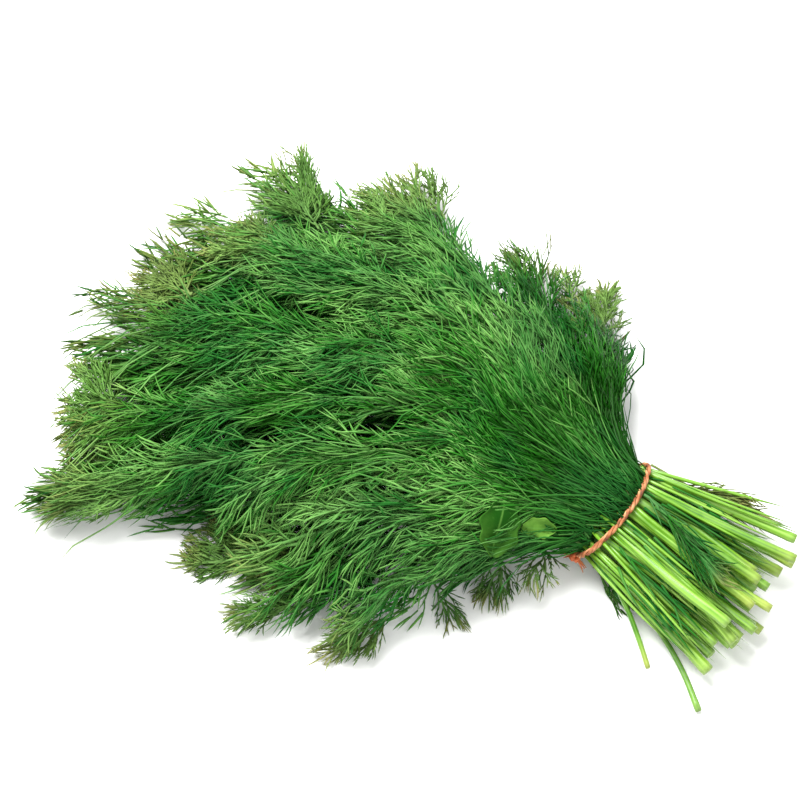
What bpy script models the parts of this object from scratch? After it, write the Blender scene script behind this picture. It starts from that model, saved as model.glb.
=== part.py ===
"""Dill bunch lying on its side: cut stems, feathery fronds, two flat leaves and a twisted fibre tie.

Metres, +Z up. X runs along the bunch, with the cut stems towards +X and the foliage towards -X. The
floor is z = 0, and the origin ends up under the middle of the whole bunch. Each sprig is one stem with
one frond. The fronds fill a fan that opens from the neck, where the tie is: a frond owns one column of
the fan and one band of its height, so that neighbouring fronds lie against each other without meeting.
"""

import math
import random

import bmesh
import bpy
import numpy as np
from mathutils import Vector

MM = 0.001
GAP = 0.4 * MM  # air between pieces that lie against each other

# Neck: the oval that the tie draws together.
NECK_HALF_WIDTH = 22.0 * MM
NECK_HALF_HEIGHT = 14.5 * MM
NECK_CENTRE_HEIGHT = 19.6 * MM
NECK_SIDE = 0.96  # the oval's outermost share that still has height

# Sprigs stacked in each column of the fan, from the -Y side to the +Y side.
COLUMNS = (2, 3, 3, 4, 4, 4, 3, 2, 2)

# Foliage fan: how far it opens (degrees), and how far it reaches by lateral share, -1 to 1 across it.
FAN_START_ANGLE = 12.0
FAN_HALF_ANGLE = 83.0
FAN_EDGE_TURN = 0.2  # share of that angle that only the outer growth lines add
FAN_OPENING = 30.0 * MM
REACH = (
    (-1.0, 94.0 * MM),
    (-0.89, 124.0 * MM),
    (-0.67, 148.0 * MM),
    (-0.56, 186.0 * MM),
    (-0.44, 222.0 * MM),
    (-0.22, 230.0 * MM),
    (0.0, 230.0 * MM),
    (0.22, 222.0 * MM),
    (0.33, 206.0 * MM),
    (0.44, 174.0 * MM),
    (0.67, 120.0 * MM),
    (0.82, 106.0 * MM),
    (1.0, 58.0 * MM),
)
DOME_HEIGHT = 66.0 * MM
DOME_SHARES = ((0.0, 0.62), (0.22, 0.92), (0.42, 1.0), (0.65, 0.82), (0.85, 0.5), (1.0, 0.3), (1.3, 0.25))
DOME_SIDE_DROP = 0.42
NECK_BLEND = 58.0 * MM
INTERLEAVE = 0.07  # lateral shares by which one band of fronds lies between the next one's
INTERLEAVED = 0.78  # out to this lateral share
LINE_STEPS = 24  # straight pieces that a growth line is followed in

# Fronds: closed feather-shaped pads from FROND_START past the tie out to the reach of the fan.
FROND_START = 13.0 * MM
FROND_STATIONS = tuple(s * MM for s in (13, 26, 40, 56, 74, 94, 114, 134, 154, 174, 194, 214, 234))
FROND_TIP_CLEARANCE = 9.0 * MM
FROND_WIDTHS = ((0.0, 0.5), (0.15, 0.8), (0.5, 0.9), (0.75, 0.84), (0.9, 0.56), (1.0, 0.14))
FROND_THICKNESSES = ((0.0, 0.5), (0.15, 0.78), (0.7, 0.84), (0.9, 0.66), (1.0, 0.3))
FROND_SIDES = 8
SECTION_ROUNDNESS = 0.7  # 1 is an ellipse, and less is squarer
LENGTH_SPREAD = 0.08

# Stems: from inside the foliage, through the neck, to the cut end.
STEM_STATIONS = tuple(s * MM for s in (0, 9, 18, 28, 38, 48, 58, 68, 78, 88))
STEM_RADIUS = (1.6 * MM, 2.12 * MM)
STEM_CLEARANCE = 2.2 * MM  # from a stem's upper end to its frond
STEM_UPPER_TAPER = 0.86  # a stem's upper end against the stem at the tie
STEM_SWELL = 1.2  # the cut end is this much thicker than the stem at the neck
STEM_CUT = (
    (-1.0, 52.0 * MM),
    (-0.67, 60.0 * MM),
    (-0.44, 68.0 * MM),
    (-0.22, 74.0 * MM),
    (0.0, 69.0 * MM),
    (0.44, 68.0 * MM),
    (1.0, 66.0 * MM),
)  # by lateral share
STEM_CUT_SPREAD = 7.0 * MM
STEM_SPREAD = 1.7  # the cut ends fan out to this many times the neck's width
STEM_DRIFT = -9.5 * MM  # and lean to -Y by this much
STEM_FALL = 0.25
STRAY_RADIUS = 1.05 * MM
STRAY_ENDS = {(0, 0): (70.0 * MM, -47.0 * MM), (0, 1): (44.0 * MM, -46.0 * MM)}
STRAY_FALL = 40.0 * MM
STRAY_BEND = 3.0  # 1 is straight, and more keeps it beside the stems for longer
STRAY_DROP = 0.9  # share of its height at the tie that a stray loses
STRAY_OVERRUN = 1.2  # its bend is followed to this share of its length
STEM_TURN = 0.26  # how unevenly the stems fan out, in neck half widths
STEM_RISE = 0.12  # how unevenly they fall
SETTLE_STEPS = 240
SETTLE_PULL = 0.04  # share of the way to its own place that a stem goes in one step
SETTLE_EVENING = 0.2  # share by which it straightens in one step
SETTLE_PUSHES = 3
SETTLE_ROOM = 1.16  # stems stay this many radii apart

# Short leaves that lie along the outside of the stems: the direction they lie in (degrees, +Y is 0 and up
# is 90), start and end past the tie, place across at each, half width and half thickness.
BASAL_FRONDS = (
    ("basal_frond_back", 0.0, 5.0 * MM, 66.0 * MM, 19.0 * MM, 8.0 * MM, 6.0 * MM, 3.4 * MM),
    ("basal_frond_front", 240.0, 3.0 * MM, 28.0 * MM, -19.0 * MM, -20.0 * MM, 4.0 * MM, 2.2 * MM),
    ("basal_frond_top", 90.0, 11.5 * MM, 58.0 * MM, -6.0 * MM, 10.0 * MM, 11.0 * MM, 1.8 * MM),
)
BASAL_STATIONS = 6
BASAL_END = 0.35  # its thickness at a pointed end, against its middle
BASAL_SWELLING = (0.15, 0.95)  # part of half a wave that its thickness follows

# Tie: one twisted strand round the neck, its top leaning to the stems, with a knot low on the -Y side.
TIE_RADIUS = 1.3 * MM
TIE_LEAN = 8.0 * MM
TIE_POINTS = 40
TIE_SIDES = 8
KNOT_ANGLE = 205.0
KNOT_SIZE = (3.4 * MM, 2.6 * MM, 2.9 * MM)
TAIL_LENGTHS = (6.0 * MM, 4.5 * MM)
TAIL_RADII = (1.3 * MM, 0.95 * MM, 0.7 * MM)
TAIL_SIDES = 6
TIE_SIZES = (0.86, 1.6)  # the tie's oval against the neck's, at the tightest and the loosest
TIE_SIZE_STEP = 0.01

# Flat leaves that lie on the foliage beside the tie: base and tip (distance past the tie, lateral share),
# half width.
FLAT_LEAVES = (
    ("flat_leaf_large", (37.0 * MM, -0.6), (41.0 * MM, -1.06), 8.5 * MM),
    ("flat_leaf_small", (28.5 * MM, -0.86), (14.5 * MM, -0.86), 3.6 * MM),
)
FLAT_LEAF_THICKNESS = 0.9 * MM
FLAT_LEAF_LIFT = 0.6 * MM
FAN_SHARE_WIDTH = 40.0 * MM  # width of one lateral share of the fan where those leaves lie
FLAT_LEAF_STATIONS = 7
FLAT_LEAF_POINT = 0.12  # its width at a pointed end, against its middle
FLAT_LEAF_ROUNDNESS = 0.8  # less is fuller towards the ends
FLAT_LEAF_SWELLING = (0.08, 0.96)  # part of half a wave that its width follows

COLOURS = {
    "stem": ((0.23, 0.46, 0.10), 0.42),
    "frond": ((0.05, 0.25, 0.06), 0.6),
    "basal_frond": ((0.07, 0.2, 0.05), 0.65),
    "flat_leaf": ((0.12, 0.36, 0.05), 0.5),
    "tie": ((0.46, 0.19, 0.08), 0.7),
}


def clear_scene():
    """Removes the objects that Blender starts with."""
    for found in list(bpy.data.objects):
        bpy.data.objects.remove(found)


def material(kind):
    """The Principled material of one kind of piece, made once."""
    made = bpy.data.materials.get(kind)
    if made is None:
        made = bpy.data.materials.new(kind)
        made.use_nodes = True
        shader = made.node_tree.nodes["Principled BSDF"]
        colour, roughness = COLOURS[kind]
        shader.inputs["Base Color"].default_value = (*colour, 1.0)
        shader.inputs["Roughness"].default_value = roughness
        shader.inputs["Metallic"].default_value = 0.0
    return made


def eased(share):
    """A smooth step from 0 to 1."""
    share = min(1.0, max(0.0, share))
    return share * share * (3.0 - 2.0 * share)


def along(pairs, at):
    """Reads a list of (position, value) pairs at a position, straight between them."""
    return float(np.interp(at, [p for p, _ in pairs], [v for _, v in pairs]))


# ---------------------------------------------------------------- the fan of foliage


def neck_height(lateral):
    """Height of the neck's oval at a lateral share from -1 to 1."""
    return 2.0 * NECK_HALF_HEIGHT * math.sqrt(1.0 - min(NECK_SIDE, abs(lateral)) ** 2)


def growth_line(distance, lateral):
    """Plan position of the growth line that leaves the neck at a lateral share, at a distance along it."""
    x, y = 0.0, NECK_HALF_WIDTH * lateral
    step = distance / LINE_STEPS
    turned = lateral * (1.0 - FAN_EDGE_TURN + FAN_EDGE_TURN * lateral**2)
    for i in range(LINE_STEPS):
        opened = 1.0 - math.exp(-(i + 0.5) * step / FAN_OPENING)
        angle = turned * math.radians(FAN_START_ANGLE + (FAN_HALF_ANGLE - FAN_START_ANGLE) * opened)
        x -= math.cos(angle) * step
        y += math.sin(angle) * step
    return x, y


def fan_reach(lateral):
    """How far the foliage reaches along the growth line at a lateral share."""
    return along(REACH, lateral)


def fan_point(distance, lateral, height_share):
    """A point of the foliage: its distance past the tie, lateral share and share of the height there."""
    opened = eased(distance / NECK_BLEND)
    inner = max(0.0, 1.0 - (lateral / INTERLEAVED) ** 2)
    lateral += INTERLEAVE * opened * inner * math.sin(2.0 * math.tau * height_share)
    x, y = growth_line(distance, lateral)
    crown = DOME_HEIGHT * (1.0 - DOME_SIDE_DROP * lateral**2)
    domed = crown * along(DOME_SHARES, distance / fan_reach(lateral))
    bottom = (1.0 - opened) * (NECK_CENTRE_HEIGHT - neck_height(lateral) / 2.0)
    height = (1.0 - opened) * neck_height(lateral) + opened * domed
    return Vector((x, y, bottom + height_share * height))


class Sprig:
    """One stem with its frond: the fan cell that it owns, its radius at the neck and its length."""

    def __init__(self, column, band, chance):
        self.cell = (column, band)
        self.bands = COLUMNS[column]
        self.lateral = (column + 0.5) * 2.0 / len(COLUMNS) - 1.0
        self.height_share = (band + 0.5) / self.bands
        self.radius = chance.uniform(*STEM_RADIUS)
        self.reach = fan_reach(self.lateral) * (1.0 + chance.uniform(-LENGTH_SPREAD, LENGTH_SPREAD))
        self.cut = along(STEM_CUT, self.lateral) + chance.uniform(-STEM_CUT_SPREAD, STEM_CUT_SPREAD)
        self.turn = chance.gauss(0.0, STEM_TURN)
        self.rise = chance.uniform(-STEM_RISE, STEM_RISE)
        self.stray = STRAY_ENDS.get(self.cell)
        if self.stray:
            self.radius = STRAY_RADIUS
            self.cut = self.stray[0]

    def name(self, kind):
        """Node name from the sprig's column and band, counted from 1."""
        return f"{kind}_{self.cell[0] + 1}{'abcde'[self.cell[1]]}"


def make_sprigs():
    """Every sprig of the bunch, column by column, from the floor up."""
    chance = random.Random(41)
    return [Sprig(column, band, chance) for column, bands in enumerate(COLUMNS) for band in range(bands)]


# ---------------------------------------------------------------- stems settling beside each other


def neck_place(sprig):
    """Where a sprig's stem crosses the neck, as (y, z)."""
    point = fan_point(0.0, sprig.lateral, sprig.height_share)
    return np.array((point.y, point.z))


def settle_stems(sprigs):
    """(y, z) of each stem at each station towards its cut end, pushed apart until none overlap."""
    stations = np.array(STEM_STATIONS)
    share = (stations / stations[-1])[None, :, None]
    start = np.array([neck_place(s) for s in sprigs])[:, None, :]
    radii = np.array([s.radius for s in sprigs])
    goal_end = start.copy()
    for row, sprig in enumerate(sprigs):
        y, z = start[row, 0]
        goal_end[row, 0, 0] = STEM_SPREAD * (y + sprig.turn * NECK_HALF_WIDTH) + STEM_DRIFT
        goal_end[row, 0, 1] = z * (1.0 - STEM_FALL + sprig.rise)
    placed = start + share * (start * [STEM_SPREAD - 1.0, 0.0] + [STEM_DRIFT, 0.0])
    goal = start + share * (goal_end - start)
    for row, sprig in enumerate(sprigs):
        if sprig.stray:
            gone = np.minimum(stations / sprig.stray[0], STRAY_OVERRUN) ** STRAY_BEND
            goal[row, :, 0] = start[row, 0, 0] + gone * (sprig.stray[1] - start[row, 0, 0])
            goal[row, :, 1] *= [1.0 - STRAY_DROP * eased(x / STRAY_FALL) for x in stations]
            placed[row] = goal[row]
    for _ in range(SETTLE_STEPS):
        placed += SETTLE_PULL * (goal - placed)
        middle = placed[:, 1:-1]
        middle += SETTLE_EVENING * ((placed[:, :-2] + placed[:, 2:]) / 2.0 - middle)
        for _ in range(SETTLE_PUSHES):
            push_apart(placed, radii)
        placed[:, 0] = start[:, 0]
    return placed


def push_apart(placed, radii):
    """Moves stems that are too near each other at the same station, and keeps them off the floor."""
    swell = 1.0 + (STEM_SWELL - 1.0) * np.linspace(0.0, 1.0, placed.shape[1])
    for first in range(len(radii) - 1):
        away = placed[first + 1 :] - placed[first]
        apart = np.maximum(np.linalg.norm(away, axis=2), 1e-6)
        wanted = SETTLE_ROOM * (radii[first + 1 :, None] + radii[first]) * swell + GAP
        push = (np.maximum(0.0, wanted - apart) / apart / 2.0)[:, :, None] * away
        placed[first + 1 :] += push
        placed[first] -= push.sum(axis=0)
    lowest = radii[:, None] * STEM_SWELL + GAP / 4.0
    placed[:, :, 1] = np.maximum(placed[:, :, 1], lowest)


def stem_line(sprig, beyond):
    """Centre points and radii of one stem, from its frond to its cut end."""
    upper_end = FROND_START - STEM_CLEARANCE
    points = [fan_point(share * upper_end, sprig.lateral, sprig.height_share) for share in (1.0, 0.5)]
    radii = [STEM_UPPER_TAPER * sprig.radius, 0.5 * (1.0 + STEM_UPPER_TAPER) * sprig.radius]
    for x, (y, z) in zip(STEM_STATIONS, beyond):
        last = x >= sprig.cut
        if last:
            back = points[-1]
            share = (sprig.cut - back.x) / (x - back.x)
            x, y, z = (a + share * (b - a) for a, b in zip(back, (x, y, z)))
        points.append(Vector((x, y, z)))
        radii.append(sprig.radius * (1.0 + (STEM_SWELL - 1.0) * x / STEM_STATIONS[-1]))
        if last:
            break
    return points, radii


def make_stem(sprig, points, radii):
    """A tapering tube along the stem's line, with flat cut ends."""
    curve = bpy.data.curves.new(sprig.name("stem"), "CURVE")
    curve.dimensions = "3D"
    curve.bevel_depth = 1.0
    curve.bevel_resolution = 2
    curve.use_fill_caps = True
    spline = curve.splines.new("POLY")
    spline.points.add(len(points) - 1)
    for control, point, radius in zip(spline.points, points, radii):
        control.co = (*point, 1.0)
        control.radius = radius
    curve.materials.append(material("stem"))
    stem = bpy.data.objects.new(sprig.name("stem"), curve)
    bpy.context.collection.objects.link(stem)
    return stem


# ---------------------------------------------------------------- fronds and leaves


def loft(name, rings, kind):
    """One closed solid through rings of points, with flat ends."""
    mesh = bpy.data.meshes.new(name)
    shape = bmesh.new()
    loops = [[shape.verts.new(point) for point in ring] for ring in rings]
    for near, far in zip(loops, loops[1:]):
        for i in range(len(near)):
            shape.faces.new((near[i - 1], near[i], far[i], far[i - 1]))
    shape.faces.new(loops[0])
    shape.faces.new(loops[-1])
    bmesh.ops.recalc_face_normals(shape, faces=shape.faces)
    shape.to_mesh(mesh)
    shape.free()
    mesh.materials.append(material(kind))
    made = bpy.data.objects.new(name, mesh)
    bpy.context.collection.objects.link(made)
    return made


def section(sides, flat_below=False):
    """Corners of a rounded section in a square from -1 to 1, with a flat underside where it rests."""
    corners = []
    for i in range(sides):
        angle = math.tau * i / sides
        across, up = (
            math.copysign(abs(part) ** SECTION_ROUNDNESS, part) for part in (math.cos(angle), math.sin(angle))
        )
        corners.append((across, -1.0 if flat_below and up < -0.1 else up))
    return corners


def make_frond(sprig):
    """The frond's pad: a feather outline that fills its column and band of the fan."""
    half_column = 1.0 / len(COLUMNS)
    half_band = 0.5 / sprig.bands
    on_floor = sprig.cell[1] == 0
    stations = [s for s in FROND_STATIONS if s < sprig.reach - FROND_TIP_CLEARANCE] + [sprig.reach]
    rings = []
    for distance in stations:
        share = (distance - FROND_START) / (sprig.reach - FROND_START)
        width = half_column * along(FROND_WIDTHS, share)
        thickness = half_band * along(FROND_THICKNESSES, share)
        ring = []
        for across, up in section(FROND_SIDES, flat_below=on_floor):
            rise = -half_band if on_floor and up == -1.0 else thickness * up
            ring.append(fan_point(distance, sprig.lateral + width * across, sprig.height_share + rise))
        rings.append(ring)
    return loft(sprig.name("frond"), rings, "frond")


def make_basal_frond(name, direction, start, end, place, end_place, half_width, half_thickness, lines):
    """A short frond against the outside of the stems, in a direction across them given in degrees."""
    outward = Vector((0.0, math.cos(math.radians(direction)), math.sin(math.radians(direction))))
    sideways = Vector((0.0, -outward.z, outward.y))
    rings = []
    first, last = BASAL_SWELLING
    for i in range(BASAL_STATIONS):
        share = i / (BASAL_STATIONS - 1)
        x = start + (end - start) * share
        swelling = BASAL_END + (1.0 - BASAL_END) * math.sin(math.pi * (first + (last - first) * share))
        outside = stems_reach(lines, x, outward) + GAP + half_thickness * swelling
        middle = Vector((x, 0.0, 0.0)) + outward * outside + sideways * (place + (end_place - place) * share)
        rings.append(
            [
                middle + sideways * half_width * swelling * across + outward * half_thickness * swelling * up
                for across, up in section(FROND_SIDES)
            ]
        )
    return loft(name, rings, "basal_frond")


def stems_reach(lines, x, outward):
    """How far the stems' skins reach in a direction, near the station x."""
    reach = 0.0
    for points, radii in lines:
        for point, radius in zip(points, radii):
            if abs(point.x - x) < STEM_STATIONS[2] - STEM_STATIONS[0]:
                reach = max(reach, point.dot(outward) + radius)
    return reach


def make_flat_leaf(name, base, tip, half_width):
    """A thin pointed blade that lies on the foliage, from its base to its tip."""
    rings = []
    run = Vector((tip[0] - base[0], (tip[1] - base[1]) * FAN_SHARE_WIDTH)).normalized()
    first, last = FLAT_LEAF_SWELLING
    for i in range(FLAT_LEAF_STATIONS):
        share = i / (FLAT_LEAF_STATIONS - 1)
        swelling = math.sin(math.pi * (first + (last - first) * share)) ** FLAT_LEAF_ROUNDNESS
        half = half_width * (FLAT_LEAF_POINT + (1.0 - FLAT_LEAF_POINT) * swelling)
        distance = base[0] + (tip[0] - base[0]) * share
        lateral = base[1] + (tip[1] - base[1]) * share
        upper = []
        for across in (-half, -0.5 * half, 0.0, 0.5 * half, half):
            corner = fan_point(distance - run.y * across, lateral + run.x * across / FAN_SHARE_WIDTH, 1.0)
            upper.append(corner + Vector((0.0, 0.0, FLAT_LEAF_LIFT + FLAT_LEAF_THICKNESS)))
        lower = [corner - Vector((0.0, 0.0, FLAT_LEAF_THICKNESS)) for corner in reversed(upper)]
        rings.append(upper + lower)
    return loft(name, rings, "flat_leaf")


# ---------------------------------------------------------------- tie


def tube(name, points, radii, sides, closed):
    """A mesh tube along points, a ring if closed, for a Boolean union."""
    count = len(points)
    mesh = bpy.data.meshes.new(name)
    shape = bmesh.new()
    loops = []
    for i, point in enumerate(points):
        before = points[i - 1] if closed or i else point
        after = points[(i + 1) % count] if closed or i < count - 1 else point
        tangent = (after - before).normalized()
        first = tangent.cross(Vector((1.0, 0.0, 0.02))).normalized()
        second = tangent.cross(first)
        turns = [math.tau * k / sides for k in range(sides)]
        loops.append(
            [shape.verts.new(point + radii[i] * (math.cos(t) * first + math.sin(t) * second)) for t in turns]
        )
    for near, far in zip(loops, loops[1:] + loops[:1] if closed else loops[1:]):
        for k in range(sides):
            shape.faces.new((near[k - 1], near[k], far[k], far[k - 1]))
    if not closed:
        shape.faces.new(loops[0])
        shape.faces.new(loops[-1])
    bmesh.ops.recalc_face_normals(shape, faces=shape.faces)
    shape.to_mesh(mesh)
    shape.free()
    made = bpy.data.objects.new(name, mesh)
    bpy.context.collection.objects.link(made)
    return made


def distance_to_line(point, line, radii):
    """How far a point is from the skin of a stem, along the stem's whole line."""
    best = math.inf
    for a, b, ra, rb in zip(line, line[1:], radii, radii[1:]):
        step = b - a
        share = min(1.0, max(0.0, (point - a).dot(step) / step.length_squared))
        best = min(best, (point - a - share * step).length - (ra + share * (rb - ra)))
    return best


def tie_path(lines):
    """Centre points of the tie: an oval round the neck, each point moved out until it clears the stems."""
    swollen = []
    for i in range(TIE_POINTS):
        angle = math.tau * i / TIE_POINTS
        across, up = math.cos(angle), math.sin(angle)
        size, loosest = TIE_SIZES
        while size < loosest:
            point = tie_point(across, up, size)
            if all(distance_to_line(point, *line) > TIE_RADIUS + GAP for line in lines):
                break
            size += TIE_SIZE_STEP
        swollen.append(size)
    after = swollen[1:] + swollen[:1]
    widest = [max(swollen[i - 2], swollen[i - 1], swollen[i], after[i]) for i in range(TIE_POINTS)]
    evened = [(widest[i - 1] + widest[i] + widest[(i + 1) % TIE_POINTS]) / 3.0 for i in range(TIE_POINTS)]
    evened = [max(a, b) for a, b in zip(evened, swollen)]
    turns = [math.tau * i / TIE_POINTS for i in range(TIE_POINTS)]
    return [tie_point(math.cos(t), math.sin(t), size) for t, size in zip(turns, evened)]


def tie_point(across, up, size):
    """A point of the tie's oval, whose top leans towards the stems."""
    rise = NECK_HALF_HEIGHT * size * up
    return Vector((TIE_LEAN * up, NECK_HALF_WIDTH * size * across, NECK_CENTRE_HEIGHT + rise))


def make_tie(lines):
    """The strand round the neck, joined with its knot and two short tails into one solid."""
    path = tie_path(lines)
    tie = tube("tie", path, [TIE_RADIUS] * TIE_POINTS, TIE_SIDES, closed=True)
    tie.data.materials.append(material("tie"))
    knot_at = path[round(KNOT_ANGLE / 360.0 * TIE_POINTS)]
    outward = (knot_at - Vector((0.0, 0.0, NECK_CENTRE_HEIGHT))).normalized()
    outward.x = 0.0
    ball = bmesh.new()
    bmesh.ops.create_icosphere(ball, subdivisions=2, radius=1.0)
    bmesh.ops.scale(ball, vec=KNOT_SIZE, verts=ball.verts)
    bmesh.ops.translate(ball, vec=knot_at + outward * 1.6 * MM, verts=ball.verts)
    mesh = bpy.data.meshes.new("knot")
    ball.to_mesh(mesh)
    ball.free()
    knot = bpy.data.objects.new("knot", mesh)
    bpy.context.collection.objects.link(knot)
    joined = [knot]
    for side, length in zip((-1.0, 1.0), TAIL_LENGTHS):
        start = knot_at + outward * 1.8 * MM
        bend = start + outward * 0.35 * length + Vector((side * 0.45 * length, 0.0, -0.1 * length))
        end = bend + outward * 0.1 * length + Vector((side * 0.3 * length, 0.0, -0.3 * length))
        joined.append(tube("tail", [start, bend, end], TAIL_RADII, TAIL_SIDES, closed=False))
    for other in joined:
        other.hide_render = True
        other.display_type = "WIRE"
        union = tie.modifiers.new("join " + other.name, "BOOLEAN")
        union.operation = "UNION"
        union.object = other
    return tie


# ---------------------------------------------------------------- the bunch


def centre_on_floor(pieces):
    """Parents every piece to an empty that brings the origin under the middle of the bunch."""
    bpy.context.view_layer.update()
    graph = bpy.context.evaluated_depsgraph_get()
    corners = []
    for piece in pieces:
        shown = piece.evaluated_get(graph)
        mesh = shown.to_mesh()
        corners += [shown.matrix_world @ vertex.co for vertex in mesh.vertices]
        shown.to_mesh_clear()
    low = Vector([min(c[k] for c in corners) for k in range(3)])
    high = Vector([max(c[k] for c in corners) for k in range(3)])
    middle = (low + high) / 2.0
    bunch = bpy.data.objects.new("bunch", None)
    bpy.context.collection.objects.link(bunch)
    bunch.location = (-middle.x, -middle.y, -low.z)
    for piece in bpy.data.objects:
        if piece is not bunch:
            piece.parent = bunch


def main():
    """Builds the whole bunch."""
    clear_scene()
    sprigs = make_sprigs()
    beyond = settle_stems(sprigs)
    lines = [stem_line(sprig, row) for sprig, row in zip(sprigs, beyond)]
    pieces = [make_stem(sprig, *line) for sprig, line in zip(sprigs, lines)]
    pieces += [make_frond(sprig) for sprig in sprigs]
    thick = [line for sprig, line in zip(sprigs, lines) if not sprig.stray]
    pieces += [make_basal_frond(*leaf, thick) for leaf in BASAL_FRONDS]
    pieces += [make_flat_leaf(*leaf) for leaf in FLAT_LEAVES]
    pieces.append(make_tie(lines))
    centre_on_floor(pieces)


main()
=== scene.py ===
"""Looks of a tied bunch of fresh dill that lies on its side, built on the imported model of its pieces.

Every sprig of the bunch has a stem and a frond. A frond is grown here twig by twig: a midrib, side ribs,
their own side ribs, and the thread-like leaflets on those. It is grown flat, in a bed of its own size, and
the bed is then laid into the fan that the foliage fills, which opens from the neck where the tie is.
"""

import logging
import math
from dataclasses import dataclass, field
from enum import Enum

import bpy
import numpy as np
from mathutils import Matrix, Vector


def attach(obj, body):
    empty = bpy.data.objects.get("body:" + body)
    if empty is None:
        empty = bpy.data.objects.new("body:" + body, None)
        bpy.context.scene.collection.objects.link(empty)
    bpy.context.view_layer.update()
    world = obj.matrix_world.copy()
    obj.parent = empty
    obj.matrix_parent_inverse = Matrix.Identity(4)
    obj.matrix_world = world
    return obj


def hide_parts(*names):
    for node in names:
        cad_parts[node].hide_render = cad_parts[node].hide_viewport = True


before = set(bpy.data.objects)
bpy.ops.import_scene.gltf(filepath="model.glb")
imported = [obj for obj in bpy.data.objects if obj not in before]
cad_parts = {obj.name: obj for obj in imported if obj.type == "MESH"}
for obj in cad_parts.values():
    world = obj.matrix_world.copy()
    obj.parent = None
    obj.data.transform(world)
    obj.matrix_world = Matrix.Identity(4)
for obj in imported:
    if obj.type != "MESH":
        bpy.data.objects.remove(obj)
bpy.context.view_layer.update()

MM = 0.001
FLOOR_CLEARANCE = 0.5 * MM

log = logging.getLogger("dill_bunch")


# ---------------------------------------------------------------- small helpers


def eased(share: np.ndarray) -> np.ndarray:
    """A smooth step from 0 to 1."""
    share = np.clip(share, 0.0, 1.0)
    return share * share * (3.0 - 2.0 * share)


def unit(vectors: np.ndarray) -> np.ndarray:
    """Vectors scaled to length 1, one in each row."""
    return vectors / np.maximum(np.linalg.norm(vectors, axis=-1, keepdims=True), 1e-12)


def deselect() -> None:
    """Deselects every object, so that an operator acts on the new one alone."""
    bpy.ops.object.select_all(action="DESELECT")


@dataclass
class Shape:
    """A mesh as arrays: its points, and the corners of its faces."""

    points: np.ndarray
    faces: list

    @classmethod
    def taken_from(cls, made: bpy.types.Object) -> "Shape":
        """Reads a modelled object as a shape, and removes the object.

        Args:
            made: the object, whose faces can be of any size.

        Returns:
            The shape in the object's own coordinates.
        """
        points = np.array([vertex.co for vertex in made.data.vertices])
        faces = [tuple(face.vertices) for face in made.data.polygons]
        mesh = made.data
        bpy.data.objects.remove(made)
        bpy.data.meshes.remove(mesh)
        return cls(points, faces)


def model_spike(sides: int, steps: int) -> Shape:
    """Models a thin spike of radius 1 and length 1 along Z, whose last step closes to a tip.

    Args:
        sides: how many sides it has round its axis.
        steps: how many steps it has along its axis.

    Returns:
        The spike as a shape of triangles.
    """
    deselect()
    bpy.ops.mesh.primitive_circle_add(vertices=sides, radius=1.0, fill_type="NGON")
    bpy.ops.object.mode_set(mode="EDIT")
    bpy.ops.mesh.select_all(action="SELECT")
    for _ in range(steps):
        bpy.ops.mesh.extrude_region_move(TRANSFORM_OT_translate={"value": (0.0, 0.0, 1.0 / steps)})
    bpy.ops.mesh.merge(type="CENTER")
    bpy.ops.mesh.select_all(action="SELECT")
    bpy.ops.mesh.quads_convert_to_tris()
    bpy.ops.mesh.normals_make_consistent(inside=False)
    bpy.ops.object.mode_set(mode="OBJECT")
    return Shape.taken_from(bpy.context.object)


def make_piece(name: str, shape: Shape, growth: np.ndarray | None = None) -> bpy.types.Object:
    """Makes a piece of the bunch from a shape, smooth shaded, and rides it on the bunch.

    Args:
        name: the piece's name.
        shape: its mesh, in the bunch's frame.
        growth: red, green and blue of the growth attribute at each point, if it has one.

    Returns:
        The new object.
    """
    mesh = bpy.data.meshes.new(name)
    corners = np.concatenate([np.asarray(face, dtype=np.int32) for face in shape.faces])
    sizes = np.array([len(face) for face in shape.faces], dtype=np.int32)
    mesh.vertices.add(len(shape.points))
    mesh.vertices.foreach_set("co", np.asarray(shape.points, dtype=np.float32).ravel())
    mesh.loops.add(len(corners))
    mesh.loops.foreach_set("vertex_index", corners)
    mesh.polygons.add(len(sizes))
    mesh.polygons.foreach_set("loop_start", np.concatenate(([0], np.cumsum(sizes)[:-1])).astype(np.int32))
    mesh.polygons.foreach_set("use_smooth", np.ones(len(sizes), dtype=bool))
    mesh.update(calc_edges=True)
    if growth is not None:
        colours = np.ones((len(shape.points), 4), dtype=np.float32)
        colours[:, :3] = growth
        attribute = mesh.color_attributes.new(name="growth", type="FLOAT_COLOR", domain="POINT")
        attribute.data.foreach_set("color", colours.ravel())
    made = bpy.data.objects.new(name, mesh)
    bpy.context.scene.collection.objects.link(made)
    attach(made, "root")
    return made


# ---------------------------------------------------------------- finishes


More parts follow.
